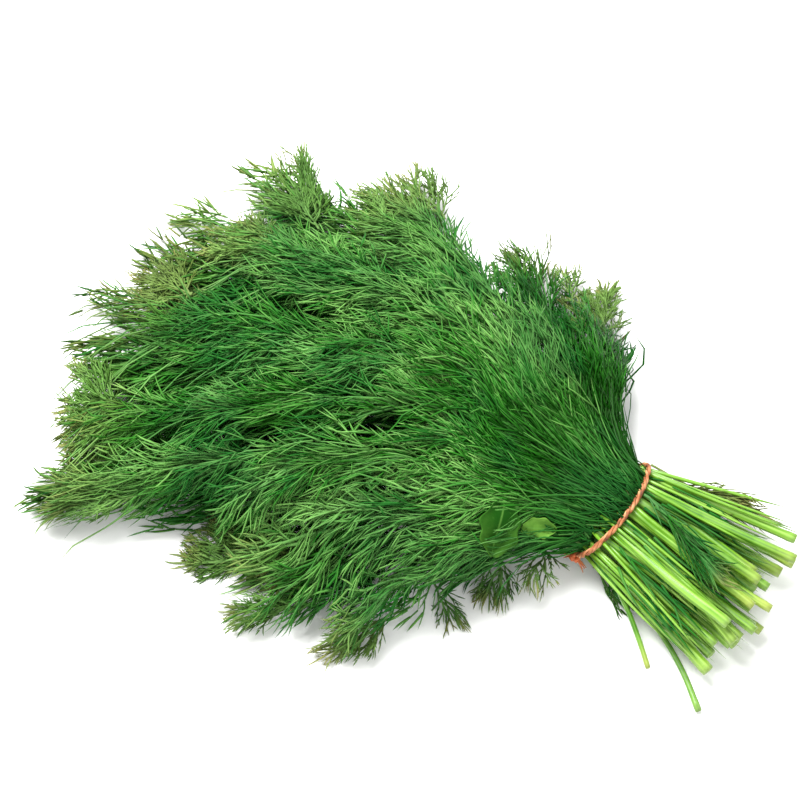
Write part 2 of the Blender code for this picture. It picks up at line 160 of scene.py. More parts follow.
class NodeSheet:
    """A node tree with short ways to add and join nodes."""

    def __init__(self, tree: bpy.types.NodeTree) -> None:
        """Starts on a node tree.

        Args:
            tree: the material's or the group's node tree.
        """
        self.tree = tree

    def add(self, kind: str, **values: object) -> bpy.types.Node:
        """Adds a node and sets its properties and unlinked inputs.

        Args:
            kind: the node's class name after "ShaderNode".
            values: properties by their Python name, or inputs by their name with spaces as underscores.

        Returns:
            The new node.
        """
        node = self.tree.nodes.new("ShaderNode" + kind)
        for key, value in values.items():
            if hasattr(node, key):
                setattr(node, key, value)
            else:
                node.inputs[key.replace("_", " ")].default_value = value
        return node

    def join(self, source: bpy.types.NodeSocket, target: bpy.types.NodeSocket) -> None:
        """Links an output to an input."""
        self.tree.links.new(source, target)

    def ramp(self, source: bpy.types.NodeSocket, stops: list) -> bpy.types.NodeSocket:
        """Adds a colour ramp.

        Args:
            source: the value that it reads.
            stops: its stops, as (position, (red, green, blue)).

        Returns:
            The ramp's colour output.
        """
        node = self.add("ValToRGB")
        elements = node.color_ramp.elements
        while len(elements) < len(stops):
            elements.new(0.5)
        for element, (position, colour) in zip(elements, stops):
            element.position = position
            element.color = (*colour, 1.0)
        self.join(source, node.inputs["Fac"])
        return node.outputs["Color"]

    def mixed(
        self, factor: bpy.types.NodeSocket, first: object, second: object, blend: str = "MIX"
    ) -> bpy.types.NodeSocket:
        """Mixes two colours.

        Args:
            factor: the share of the second one.
            first: a colour, or an output that gives one.
            second: the same.
            blend: the blend type.

        Returns:
            The mixed colour output.
        """
        node = self.add("Mix", data_type="RGBA", blend_type=blend)
        self.join(factor, node.inputs["Factor"])
        for value, socket in ((first, node.inputs[6]), (second, node.inputs[7])):
            if isinstance(value, bpy.types.NodeSocket):
                self.join(value, socket)
            else:
                socket.default_value = (*value, 1.0)
        return node.outputs[2]


def make_patches_group() -> bpy.types.NodeTree:
    """Builds the group that turns one colour towards another in soft patches over the bunch."""
    group = bpy.data.node_groups.new("patches", "ShaderNodeTree")
    for name, kind in (("Colour", "NodeSocketColor"), ("Patch Colour", "NodeSocketColor")):
        group.interface.new_socket(name=name, in_out="INPUT", socket_type=kind)
    for name in ("Scale", "Amount"):
        group.interface.new_socket(name=name, in_out="INPUT", socket_type="NodeSocketFloat")
    group.interface.new_socket(name="Colour", in_out="OUTPUT", socket_type="NodeSocketColor")
    sheet = NodeSheet(group)
    given = group.nodes.new("NodeGroupInput")
    result = group.nodes.new("NodeGroupOutput")
    place = sheet.add("TexCoord")
    noise = sheet.add("TexNoise", Detail=3.0, Roughness=0.6)
    sheet.join(place.outputs["Object"], noise.inputs["Vector"])
    sheet.join(given.outputs["Scale"], noise.inputs["Scale"])
    sharp = sheet.add("MapRange", interpolation_type="SMOOTHSTEP", From_Min=0.4, From_Max=0.62)
    sheet.join(noise.outputs["Fac"], sharp.inputs["Value"])
    share = sheet.add("Math", operation="MULTIPLY")
    sheet.join(sharp.outputs["Result"], share.inputs[0])
    sheet.join(given.outputs["Amount"], share.inputs[1])
    colour = sheet.mixed(share.outputs["Value"], given.outputs["Colour"], given.outputs["Patch Colour"])
    sheet.join(colour, result.inputs["Colour"])
    return group


def make_grain_group() -> bpy.types.NodeTree:
    """Builds the group that gives fine raised grain, as a height for a Bump node."""
    group = bpy.data.node_groups.new("grain", "ShaderNodeTree")
    group.interface.new_socket(name="Scale", in_out="INPUT", socket_type="NodeSocketFloat")
    group.interface.new_socket(name="Height", in_out="OUTPUT", socket_type="NodeSocketFloat")
    sheet = NodeSheet(group)
    given = group.nodes.new("NodeGroupInput")
    result = group.nodes.new("NodeGroupOutput")
    place = sheet.add("TexCoord")
    noise = sheet.add("TexNoise", Detail=4.0, Roughness=0.65)
    sheet.join(place.outputs["Object"], noise.inputs["Vector"])
    sheet.join(given.outputs["Scale"], noise.inputs["Scale"])
    sheet.join(noise.outputs["Fac"], result.inputs["Height"])
    return group


@dataclass(frozen=True)
class Effects:
    """The node groups that the finishes share."""

    patches: bpy.types.NodeTree
    grain: bpy.types.NodeTree

    def patched(
        self, sheet: NodeSheet, colour: bpy.types.NodeSocket, patch: tuple, scale: float, amount: float
    ) -> bpy.types.NodeSocket:
        """Places the patches group in a material.

        Args:
            sheet: the material's nodes.
            colour: the colour that the patches lie on.
            patch: their colour.
            scale: how many patches there are to a metre, roughly.
            amount: how far they turn the colour.

        Returns:
            The patched colour output.
        """
        node = sheet.add("Group", node_tree=self.patches)
        node.inputs["Patch Colour"].default_value = (*patch, 1.0)
        node.inputs["Scale"].default_value = scale
        node.inputs["Amount"].default_value = amount
        sheet.join(colour, node.inputs["Colour"])
        return node.outputs["Colour"]

    def grained(
        self, sheet: NodeSheet, shader: bpy.types.Node, scale: float, strength: float, depth: float
    ) -> None:
        """Places the grain group in a material and bumps its shader with it.

        Args:
            sheet: the material's nodes.
            shader: its Principled shader.
            scale: how fine the grain is.
            strength: the Bump node's strength.
            depth: how deep it is, in metres.
        """
        node = sheet.add("Group", node_tree=self.grain)
        node.inputs["Scale"].default_value = scale
        bump = sheet.add("Bump", Strength=strength, Distance=depth)
        sheet.join(node.outputs["Height"], bump.inputs["Height"])
        sheet.join(bump.outputs["Normal"], shader.inputs["Normal"])


@dataclass(frozen=True)
class LeafFinish:
    """Thread-like leaflets: green from bluish to yellowish, paler on the ribs, dry and olive at the fringe.

    The growth attribute gives the tint in red, how rib-like a twig is in green, and dryness in blue.
    """

    name: str
    dark: tuple = (0.005, 0.056, 0.002)
    green: tuple = (0.024, 0.142, 0.012)
    light: tuple = (0.138, 0.312, 0.072)
    rib: tuple = (0.17, 0.35, 0.12)
    dry: tuple = (0.25, 0.235, 0.075)
    patch: tuple = (0.011, 0.092, 0.018)
    roughness: float = 0.52

    def make(self, effects: Effects) -> bpy.types.Material:
        """Makes the material.

        Args:
            effects: the node groups that finishes share.

        Returns:
            The material.
        """
        made = bpy.data.materials.new(self.name)
        made.use_nodes = True
        sheet = NodeSheet(made.node_tree)
        shader = made.node_tree.nodes["Principled BSDF"]
        growth = sheet.add("VertexColor", layer_name="growth")
        parts = sheet.add("SeparateColor")
        sheet.join(growth.outputs["Color"], parts.inputs["Color"])
        # The tint that this ramp reads carries painted light and shade, laid on as the fronds are grown,
        # besides each twig's own tone.
        colour = sheet.ramp(parts.outputs["Red"], [(0.0, self.dark), (0.45, self.green), (1.0, self.light)])
        colour = effects.patched(sheet, colour, self.patch, 26.0, 0.6)
        colour = sheet.mixed(parts.outputs["Green"], colour, self.rib)
        colour = sheet.mixed(parts.outputs["Blue"], colour, self.dry)
        sheet.join(colour, shader.inputs["Base Color"])
        shader.inputs["Roughness"].default_value = self.roughness
        shader.inputs["Specular IOR Level"].default_value = 0.04
        return made


@dataclass(frozen=True)
class StemFinish:
    """A fresh stem: ridged light and dark green, a pale waxy bloom, and a pale cut end.

    The growth attribute gives the ridge in red, the cut end in green, and dryness in blue.
    """

    name: str
    groove: tuple = (0.022, 0.11, 0.004)
    ridge: tuple = (0.14, 0.33, 0.016)
    bloom: tuple = (0.27, 0.48, 0.075)
    cut: tuple = (0.22, 0.36, 0.075)
    dry: tuple = (0.42, 0.40, 0.08)
    roughness: float = 0.38

    def make(self, effects: Effects) -> bpy.types.Material:
        """Makes the material.

        Args:
            effects: the node groups that finishes share.

        Returns:
            The material.
        """
        made = bpy.data.materials.new(self.name)
        made.use_nodes = True
        sheet = NodeSheet(made.node_tree)
        shader = made.node_tree.nodes["Principled BSDF"]
        growth = sheet.add("VertexColor", layer_name="growth")
        parts = sheet.add("SeparateColor")
        sheet.join(growth.outputs["Color"], parts.inputs["Color"])
        colour = sheet.ramp(parts.outputs["Red"], [(0.0, self.groove), (0.6, self.ridge), (1.0, self.bloom)])
        colour = effects.patched(sheet, colour, self.bloom, 70.0, 0.3)
        colour = sheet.mixed(parts.outputs["Green"], colour, self.cut)
        colour = sheet.mixed(parts.outputs["Blue"], colour, self.dry)
        sheet.join(colour, shader.inputs["Base Color"])
        shader.inputs["Roughness"].default_value = self.roughness
        shader.inputs["Coat Weight"].default_value = 0.06
        effects.grained(sheet, shader, 900.0, 0.25, 0.2 * MM)
        return made


@dataclass(frozen=True)
class BladeFinish:
    """A flat green leaf with paler veins: the growth attribute gives tint in red and the veins in green."""

    name: str
    dark: tuple = (0.008, 0.062, 0.003)
    light: tuple = (0.15, 0.33, 0.045)
    vein: tuple = (0.10, 0.25, 0.04)

    def make(self, effects: Effects) -> bpy.types.Material:
        """Makes the material.

        Args:
            effects: the node groups that finishes share.

        Returns:
            The material.
        """
        made = bpy.data.materials.new(self.name)
        made.use_nodes = True
        sheet = NodeSheet(made.node_tree)
        shader = made.node_tree.nodes["Principled BSDF"]
        growth = sheet.add("VertexColor", layer_name="growth")
        parts = sheet.add("SeparateColor")
        sheet.join(growth.outputs["Color"], parts.inputs["Color"])
        # The tint that this ramp reads is partly painted shade, darker towards the shaded end of the large
        # leaf.
        colour = sheet.ramp(parts.outputs["Red"], [(0.0, self.dark), (1.0, self.light)])
        colour = effects.patched(sheet, colour, self.dark, 160.0, 0.4)
        colour = sheet.mixed(parts.outputs["Green"], colour, self.vein)
        sheet.join(colour, shader.inputs["Base Color"])
        shader.inputs["Roughness"].default_value = 0.6
        shader.inputs["Specular IOR Level"].default_value = 0.06
        effects.grained(sheet, shader, 700.0, 0.3, 0.2 * MM)
        return made


@dataclass(frozen=True)
class FibreFinish:
    """Twisted plant fibre, tan to copper brown, orange at the knot: the growth attribute gives the fibre's
    shade in red and nearness to the knot in green."""

    name: str
    dark: tuple = (0.085, 0.025, 0.010)
    copper: tuple = (0.36, 0.115, 0.036)
    tan: tuple = (0.66, 0.36, 0.17)
    knot: tuple = (0.52, 0.10, 0.02)

    def make(self, effects: Effects) -> bpy.types.Material:
        """Makes the material.

        Args:
            effects: the node groups that finishes share.

        Returns:
            The material.
        """
        made = bpy.data.materials.new(self.name)
        made.use_nodes = True
        sheet = NodeSheet(made.node_tree)
        shader = made.node_tree.nodes["Principled BSDF"]
        growth = sheet.add("VertexColor", layer_name="growth")
        parts = sheet.add("SeparateColor")
        sheet.join(growth.outputs["Color"], parts.inputs["Color"])
        # The shade that this ramp reads bands each strand light and dark, partly the fibre's own tone and
        # partly painted light and shade of its twist.
        colour = sheet.ramp(parts.outputs["Red"], [(0.0, self.dark), (0.35, self.copper), (1.0, self.tan)])
        colour = effects.patched(sheet, colour, self.copper, 220.0, 0.8)
        colour = sheet.mixed(parts.outputs["Green"], colour, self.knot)
        sheet.join(colour, shader.inputs["Base Color"])
        shader.inputs["Roughness"].default_value = 0.7
        effects.grained(sheet, shader, 1600.0, 0.5, 0.3 * MM)
        return made


# ---------------------------------------------------------------- the fan that the foliage fills


@dataclass(frozen=True)
class Fan:
    """The fan of foliage: growth lines that leave the neck at lateral shares from -1 to 1, under a dome."""

    neck: tuple = (84.74 * MM, 15.43 * MM)
    neck_half_width: float = 22.0 * MM
    neck_half_height: float = 14.5 * MM
    neck_centre_height: float = 19.6 * MM
    columns: tuple = (2, 3, 3, 4, 4, 4, 3, 2, 2)
    start_angle: float = math.radians(12.0)
    half_angle: float = math.radians(83.0)
    edge_turn: float = 0.2
    opening: float = 30.0 * MM
    reach_at: tuple = (-1.0, -0.89, -0.67, -0.56, -0.44, -0.22, 0.0, 0.22, 0.33, 0.44, 0.67, 0.82, 1.0)
    reach_mm: tuple = (94, 124, 148, 186, 222, 230, 230, 222, 206, 174, 120, 106, 58)
    dome_height: float = 66.0 * MM
    dome_at: tuple = (0.0, 0.22, 0.42, 0.65, 0.85, 1.0, 1.3)
    dome_shares: tuple = (0.62, 0.92, 1.0, 0.82, 0.5, 0.3, 0.25)
    side_drop: float = 0.42
    neck_blend: float = 58.0 * MM
    interleave: float = 0.07
    interleaved: float = 0.78
    frond_start: float = 13.0 * MM

    def plan(self, distance: np.ndarray, lateral: np.ndarray) -> np.ndarray:
        """Gives the place in plan of points on the growth lines.

        Args:
            distance: how far along its growth line each point is.
            lateral: the lateral share of its growth line.

        Returns:
            x and y of each point, in the bunch's frame.
        """
        steps = 24
        turned = lateral * (1.0 - self.edge_turn + self.edge_turn * lateral**2)
        x = np.full(np.shape(distance), self.neck[0])
        y = self.neck[1] + self.neck_half_width * lateral
        for i in range(steps):
            opened = 1.0 - np.exp(-(i + 0.5) * np.maximum(distance, 0.0) / steps / self.opening)
            angle = turned * (self.start_angle + (self.half_angle - self.start_angle) * opened)
            x = x - np.cos(angle) * distance / steps
            y = y + np.sin(angle) * distance / steps
        return np.stack((x, y), axis=-1)

    def floor_and_height(self, distance: np.ndarray, lateral: np.ndarray) -> tuple:
        """Gives where the foliage starts above the floor, and how high it is stacked.

        Args:
            distance: distance along the growth line.
            lateral: its lateral share.

        Returns:
            The lowest height and the depth of the foliage at each point.
        """
        opened = eased(distance / self.neck_blend)
        oval = 2.0 * self.neck_half_height * np.sqrt(1.0 - np.minimum(0.96, np.abs(lateral)) ** 2)
        reach = np.interp(lateral, self.reach_at, np.array(self.reach_mm) * MM)
        dome = self.dome_height * np.interp(distance / reach, self.dome_at, self.dome_shares)
        dome = dome * np.maximum(0.3, 1.0 - self.side_drop * lateral**2)
        low = (1.0 - opened) * (self.neck_centre_height - oval / 2.0)
        return low, (1.0 - opened) * oval + opened * dome


# ---------------------------------------------------------------- beds that fronds are laid in


@dataclass
class FanBed:
    """The bed of one frond: its column and band of the fan, along its growth line."""

    fan: Fan
    column: int
    band: int
    reach: float
    spill: float
    slack: float
    lean: float = 0.0
    widest: float = 30.0 * MM
    lateral: float = field(init=False)
    share: float = field(init=False)

    def __post_init__(self) -> None:
        """Finds the middle of the frond's column and band, and tables of the room along it."""
        self.lateral = (self.column + 0.5) * 2.0 / len(self.fan.columns) - 1.0
        self.share = (self.band + 0.5) / self.fan.columns[self.column]
        self.stations = np.linspace(-14.0 * MM, 300.0 * MM, 90)
        at = self.stations + self.fan.frond_start
        low, high = (np.full(at.shape, self.middle(at) + side) for side in (-0.03, 0.03))
        self.widths = np.linalg.norm(self.fan.plan(at, high) - self.fan.plan(at, low), axis=1) / 0.06

    @property
    def length(self) -> float:
        """Length from the end of the stem to the frond's tip."""
        return self.reach - self.fan.frond_start

    def middle(self, distance: np.ndarray) -> np.ndarray:
        """Lateral share of the frond's own middle at a distance."""
        inner = max(0.0, 1.0 - (self.lateral / self.fan.interleaved) ** 2)
        swing = self.fan.interleave * inner * math.sin(4.0 * math.pi * self.share)
        return self.lateral + (self.lean + swing) * eased(distance / self.fan.neck_blend)

    def half_width(self, along: np.ndarray) -> np.ndarray:
        """Half the room across the frond, which spills over its neighbours a little."""
        wide = np.interp(along, self.stations, self.widths) / len(self.fan.columns) * self.spill
        shape = np.interp(along / self.length, (0.0, 0.15, 0.6, 0.85, 1.0), (1.0, 1.0, 1.0, 0.86, 0.5))
        return np.minimum(wide, self.widest) * shape

    def half_depth(self, along: np.ndarray) -> np.ndarray:
        """Half the room from the frond's underside to its top."""
        at = along + self.fan.frond_start
        _, height = self.fan.floor_and_height(at, np.full(np.shape(at), self.lateral))
        return height * 0.5 / self.fan.columns[self.column] + 1.0 * MM

    def lay(self, flat: np.ndarray) -> np.ndarray:
        """Lays points of the flat frond into the fan.

        Args:
            flat: points as along the frond, across it and up from its middle.

        Returns:
            The points in the bunch's frame.
        """
        at = flat[:, 0] + self.fan.frond_start
        lateral = self.middle(at) + flat[:, 1] / np.interp(flat[:, 0], self.stations, self.widths)
        low, height = self.fan.floor_and_height(at, lateral)
        laid = np.empty_like(flat)
        laid[:, :2] = self.fan.plan(at, lateral)
        laid[:, 2] = low + self.share * height + flat[:, 2]
        return settle_on_floor(stir(laid))


@dataclass
class StemBed:
    """The bed of a short frond that lies along the outside of the stems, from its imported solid's rings."""

    centres: np.ndarray
    sideways: np.ndarray
    outward: np.ndarray
    half_across: float
    half_out: float
    slack: float = 0.0

    @classmethod
    def of_node(cls, name: str, outward: Vector, spill: float, upto: float) -> "StemBed":
        """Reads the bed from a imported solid.

        Args:
            name: the solid's node.
            outward: the direction away from the stems.
            spill: the bed's size across and out, against the solid's.
            upto: the share of the solid's length that it lies along.

        Returns:
            The bed.
        """
        rings = rings_of(name, 6)
        out = np.array(outward)
        side = np.cross((1.0, 0.0, 0.0), out)
        centres = np.array([ring.mean(axis=0) for ring in rings])
        centres = centres[0] + upto * (centres - centres[0])
        middle = rings[len(rings) // 2]
        across, deep = (spill * np.ptp(middle @ axis) / 2.0 for axis in (side, out))
        return cls(centres, side, out, across, deep)

    @property
    def length(self) -> float:
        """Length along the stems."""
        return float(np.linalg.norm(self.centres[-1] - self.centres[0]))

    def half_width(self, along: np.ndarray) -> np.ndarray:
        """Half the room across the frond."""
        return np.full(np.shape(along), self.half_across)

    def half_depth(self, along: np.ndarray) -> np.ndarray:
        """Half the room out from the stems."""
        return np.full(np.shape(along), self.half_out)

    def lay(self, flat: np.ndarray) -> np.ndarray:
        """Lays points of the flat frond along the stems.

        Args:
            flat: points as along the frond, across it and up from its middle.

        Returns:
            The points in the bunch's frame.
        """
        share = flat[:, 0] / self.length * (len(self.centres) - 1)
        steps = np.arange(len(self.centres))
        middle = np.stack([np.interp(share, steps, self.centres[:, k]) for k in range(3)], axis=-1)
        beyond = flat[:, 0] - np.clip(flat[:, 0], 0.0, self.length)
        middle[:, 0] += beyond
        laid = middle + flat[:, 1:2] * self.sideways + flat[:, 2:3] * self.outward
        return settle_on_floor(stir(laid))


@dataclass
class LineBed:
    """The bed of a spray's small frond, straight from its base to its tip."""

    base: np.ndarray
    tip: np.ndarray
    half_across: float
    deep: float = 0.55
    slack: float = 1.0 * MM

    @property
    def length(self) -> float:
        """Length of the small frond."""
        return float(np.linalg.norm(self.tip - self.base))

    def half_width(self, along: np.ndarray) -> np.ndarray:
        """Half the room across it, widest past its middle."""
        return self.half_across * np.interp(along / self.length, (0.0, 0.6, 1.0), (0.55, 1.0, 0.45))

    def half_depth(self, along: np.ndarray) -> np.ndarray:
        """Half the room through it."""
        return self.deep * self.half_width(along)

    def lay(self, flat: np.ndarray) -> np.ndarray:
        """Lays points of the flat frond along its line.

        Args:
            flat: points as along the frond, across it and up from its middle.

        Returns:
            The points in the bunch's frame.
        """
        ahead = (self.tip - self.base) / self.length
        side = unit(np.cross((0.0, 0.0, 1.0), ahead))
        up = np.cross(ahead, side)
        laid = self.base + flat[:, :1] * ahead + flat[:, 1:2] * side + flat[:, 2:3] * up
        return settle_on_floor(stir(laid))


def stir(points: np.ndarray) -> np.ndarray:
    """Moves points a little, smoothly over the bunch, so that the twigs lie in locks that bend together."""
    moved = points.copy()
    for grain, amount in ((15.0 * MM, 2.6 * MM), (5.5 * MM, 0.7 * MM)):
        x, y, z = points.T / grain
        moved[:, 0] += amount * np.sin(1.1 * y + 0.9 * z + 0.7 * np.sin(0.6 * x))
        moved[:, 1] += amount * np.sin(0.8 * x - 1.2 * z + 0.8 * np.sin(0.5 * y))
        moved[:, 2] += 0.9 * amount * np.sin(0.8 * x + 0.6 * np.sin(0.7 * y)) * np.sin(0.75 * y)
    near_tie = np.hypot(points[:, 0] - 84.7 * MM, points[:, 1] - 15.4 * MM)
    share = eased((near_tie - 22.0 * MM) / (30.0 * MM))[:, None]
    return points + share * (moved - points)


def settle_on_floor(points: np.ndarray) -> np.ndarray:
    """Keeps points above the floor, by pressing the lowest ones together a little."""
    soft = 1.1 * MM
    above = (points[:, 2] - FLOOR_CLEARANCE) / soft
    points[:, 2] = FLOOR_CLEARANCE + soft * np.logaddexp(0.0, above)
    return points


def rings_of(name: str, count: int) -> list:
    """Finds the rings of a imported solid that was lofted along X, by the gaps between them.

    Args:
        name: the solid's node.
        count: how many rings it has, or 0 to find them by gaps of at least 2.5 mm.

    Returns:
        The points of each ring, from low X to high X.
    """
    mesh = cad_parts[name].data
    points = np.unique(np.round([vertex.co for vertex in mesh.vertices], 6), axis=0)
    points = points[np.argsort(points[:, 0])]
    gaps = np.diff(points[:, 0])
    cuts = np.sort(np.argsort(gaps)[-(count - 1) :]) if count else np.nonzero(gaps > 2.5 * MM)[0]
    return np.split(points, cuts + 1)


# ---------------------------------------------------------------- fronds


TWIG_FIELDS = ("start", "bend", "end", "face", "radius", "tint", "pale")


@dataclass
class Twigs:
    """Many thin tapering twigs at once: start, bend and end of each, and the face of the leaf it is in."""

    start: np.ndarray
    bend: np.ndarray
    end: np.ndarray
    face: np.ndarray
    radius: np.ndarray
    tint: np.ndarray
    pale: np.ndarray

    def kept(self, which: np.ndarray) -> "Twigs":
        """The twigs that are marked true."""
        return Twigs(*(getattr(self, name)[which] for name in TWIG_FIELDS))

    def lengths(self) -> np.ndarray:
        """Length of each twig, roughly."""
        return np.linalg.norm(self.bend - self.start, axis=1) + np.linalg.norm(self.end - self.bend, axis=1)

    def points(self, which: np.ndarray, share: np.ndarray) -> np.ndarray:
        """Points at a share of the length of the twigs with the given indices."""
        t = share[:, None]
        near = (1.0 - t) ** 2 * self.start[which]
        return near + 2.0 * t * (1.0 - t) * self.bend[which] + t**2 * self.end[which]

    def tangents(self, which: np.ndarray, share: np.ndarray) -> np.ndarray:
        """Directions at a share of the length of the twigs with the given indices."""
        t = share[:, None]
        turn = (1.0 - t) * (self.bend[which] - self.start[which]) + t * (self.end[which] - self.bend[which])
        return unit(turn)

    def swept(self, spike: Shape, tip_share: float) -> Shape:
        """Bends a spike along every twig.

        Args:
            spike: the spike, along Z from 0 to 1.
            tip_share: the radius near the tip as a share of the radius at the start.

        Returns:
            All the twigs as one shape.
        """
        count, corners = len(self.radius), len(spike.points)
        which = np.repeat(np.arange(count), corners)
        share = np.tile(spike.points[:, 2], count)
        middle = self.points(which, share)
        ahead = self.tangents(which, share)
        across = unit(np.cross(ahead, self.face[which]))
        up = np.cross(across, ahead)
        ring = np.tile(spike.points[:, :2], (count, 1)) * (
            self.radius[which] * (1.0 - (1.0 - tip_share) * share)
        )[:, None]
        points = middle + ring[:, :1] * across + ring[:, 1:] * up
        faces = np.array(spike.faces)[None] + (np.arange(count) * corners)[:, None, None]
        return Shape(points, list(faces.reshape(-1, 3)))


@dataclass(frozen=True)
class Branching:
    """How one rank of side ribs leaves its parents."""

    spacing: float
    first: float
    length: float
    shrink: float
    angle: float
    lift: float
    roll: float
    curl: float
    wave: float
    radius: float
    pale: float

    def grow(self, parents: Twigs, chance: np.random.Generator) -> Twigs:
        """Grows pairs of side twigs along every parent, and one more at its tip.

        Args:
            parents: the twigs that they grow from.
            chance: the source of variation.

        Returns:
            The side twigs.
        """
        sizes = parents.lengths()
        nodes = np.maximum(1, ((1.0 - self.first) * sizes / self.spacing).astype(int))
        owner = np.repeat(np.arange(len(sizes)), 2 * nodes + 1)
        order = np.concatenate([np.arange(2 * n + 1) for n in nodes])
        tip = order == 2 * nodes[owner]
        side = np.where(tip, 0.0, np.where(order % 2 == 0, 1.0, -1.0))
        place = (order // 2 + chance.uniform(0.15, 0.85, len(owner))) / nodes[owner]
        share = np.where(tip, 1.0, self.first + (1.0 - self.first) * place)
        size = self.length * (1.0 - self.shrink * share) * chance.uniform(0.72, 1.18, len(owner))
        size = np.minimum(size, 0.75 * sizes[owner] + 2.0 * MM)
        angle = side * (self.angle * (1.0 - 0.35 * share) + chance.normal(0.0, 0.12, len(owner)))
        lift = chance.normal(0.0, self.lift, len(owner))
        ahead = parents.tangents(owner, share)
        face = parents.face[owner]
        sideways = np.cross(face, ahead)
        heading = np.cos(angle)[:, None] * ahead + np.sin(angle)[:, None] * sideways
        heading = unit(np.cos(lift)[:, None] * heading + np.sin(lift)[:, None] * face)
        start = parents.points(owner, share)
        bend = start + heading * (0.5 * size)[:, None]
        onward = unit((1.0 - self.curl) * heading + self.curl * ahead)
        onward = unit(onward + chance.normal(0.0, self.wave, onward.shape))
        end = bend + onward * (0.5 * size)[:, None]
        facing = unit(face - np.sum(face * heading, axis=1, keepdims=True) * heading)
        roll = chance.normal(0.0, self.roll, len(owner))[:, None]
        facing = np.cos(roll) * facing + np.sin(roll) * np.cross(heading, facing)
        radius = self.radius * chance.uniform(0.85, 1.15, len(owner))
        tint = parents.tint[owner] + chance.normal(0.0, 0.11, len(owner))
        pale = np.full(len(owner), self.pale)
        return Twigs(start, bend, end, facing, radius, tint, pale)


class Fullness(Enum):
    """How closely a frond is filled, by how much of it shows: spacing of its side ribs and of their ribs."""

    TOP = (6.6 * MM, 6.6 * MM, 5.2 * MM)
    BELOW = (9.0 * MM, 8.6 * MM, 7.0 * MM)
    INNER = (13.0 * MM, 9.6 * MM, 7.0 * MM)
    FLOOR = (11.0 * MM, 8.8 * MM, 7.0 * MM)
    SHORT = (3.6 * MM, 6.0 * MM, 5.4 * MM)
    SPRAY = (3.3 * MM, 4.0 * MM, 3.4 * MM)
    LOOSE = (5.0 * MM, 6.0 * MM, 5.0 * MM)


@dataclass(frozen=True)
class Clearing:
    """An upright oval space that twigs keep out of, so that what is under or in it shows."""

    middle: tuple
    half_sizes: tuple
    turned: float
    above: float

    def covers(self, points: np.ndarray) -> np.ndarray:
        """Says which points are in the clearing."""
        away = points[:, :2] - np.array(self.middle)
        along = away @ (math.cos(self.turned), math.sin(self.turned))
        across = away @ (-math.sin(self.turned), math.cos(self.turned))
        inside = (along / self.half_sizes[0]) ** 2 + (across / self.half_sizes[1]) ** 2 < 1.0
        return inside & (points[:, 2] > self.above)


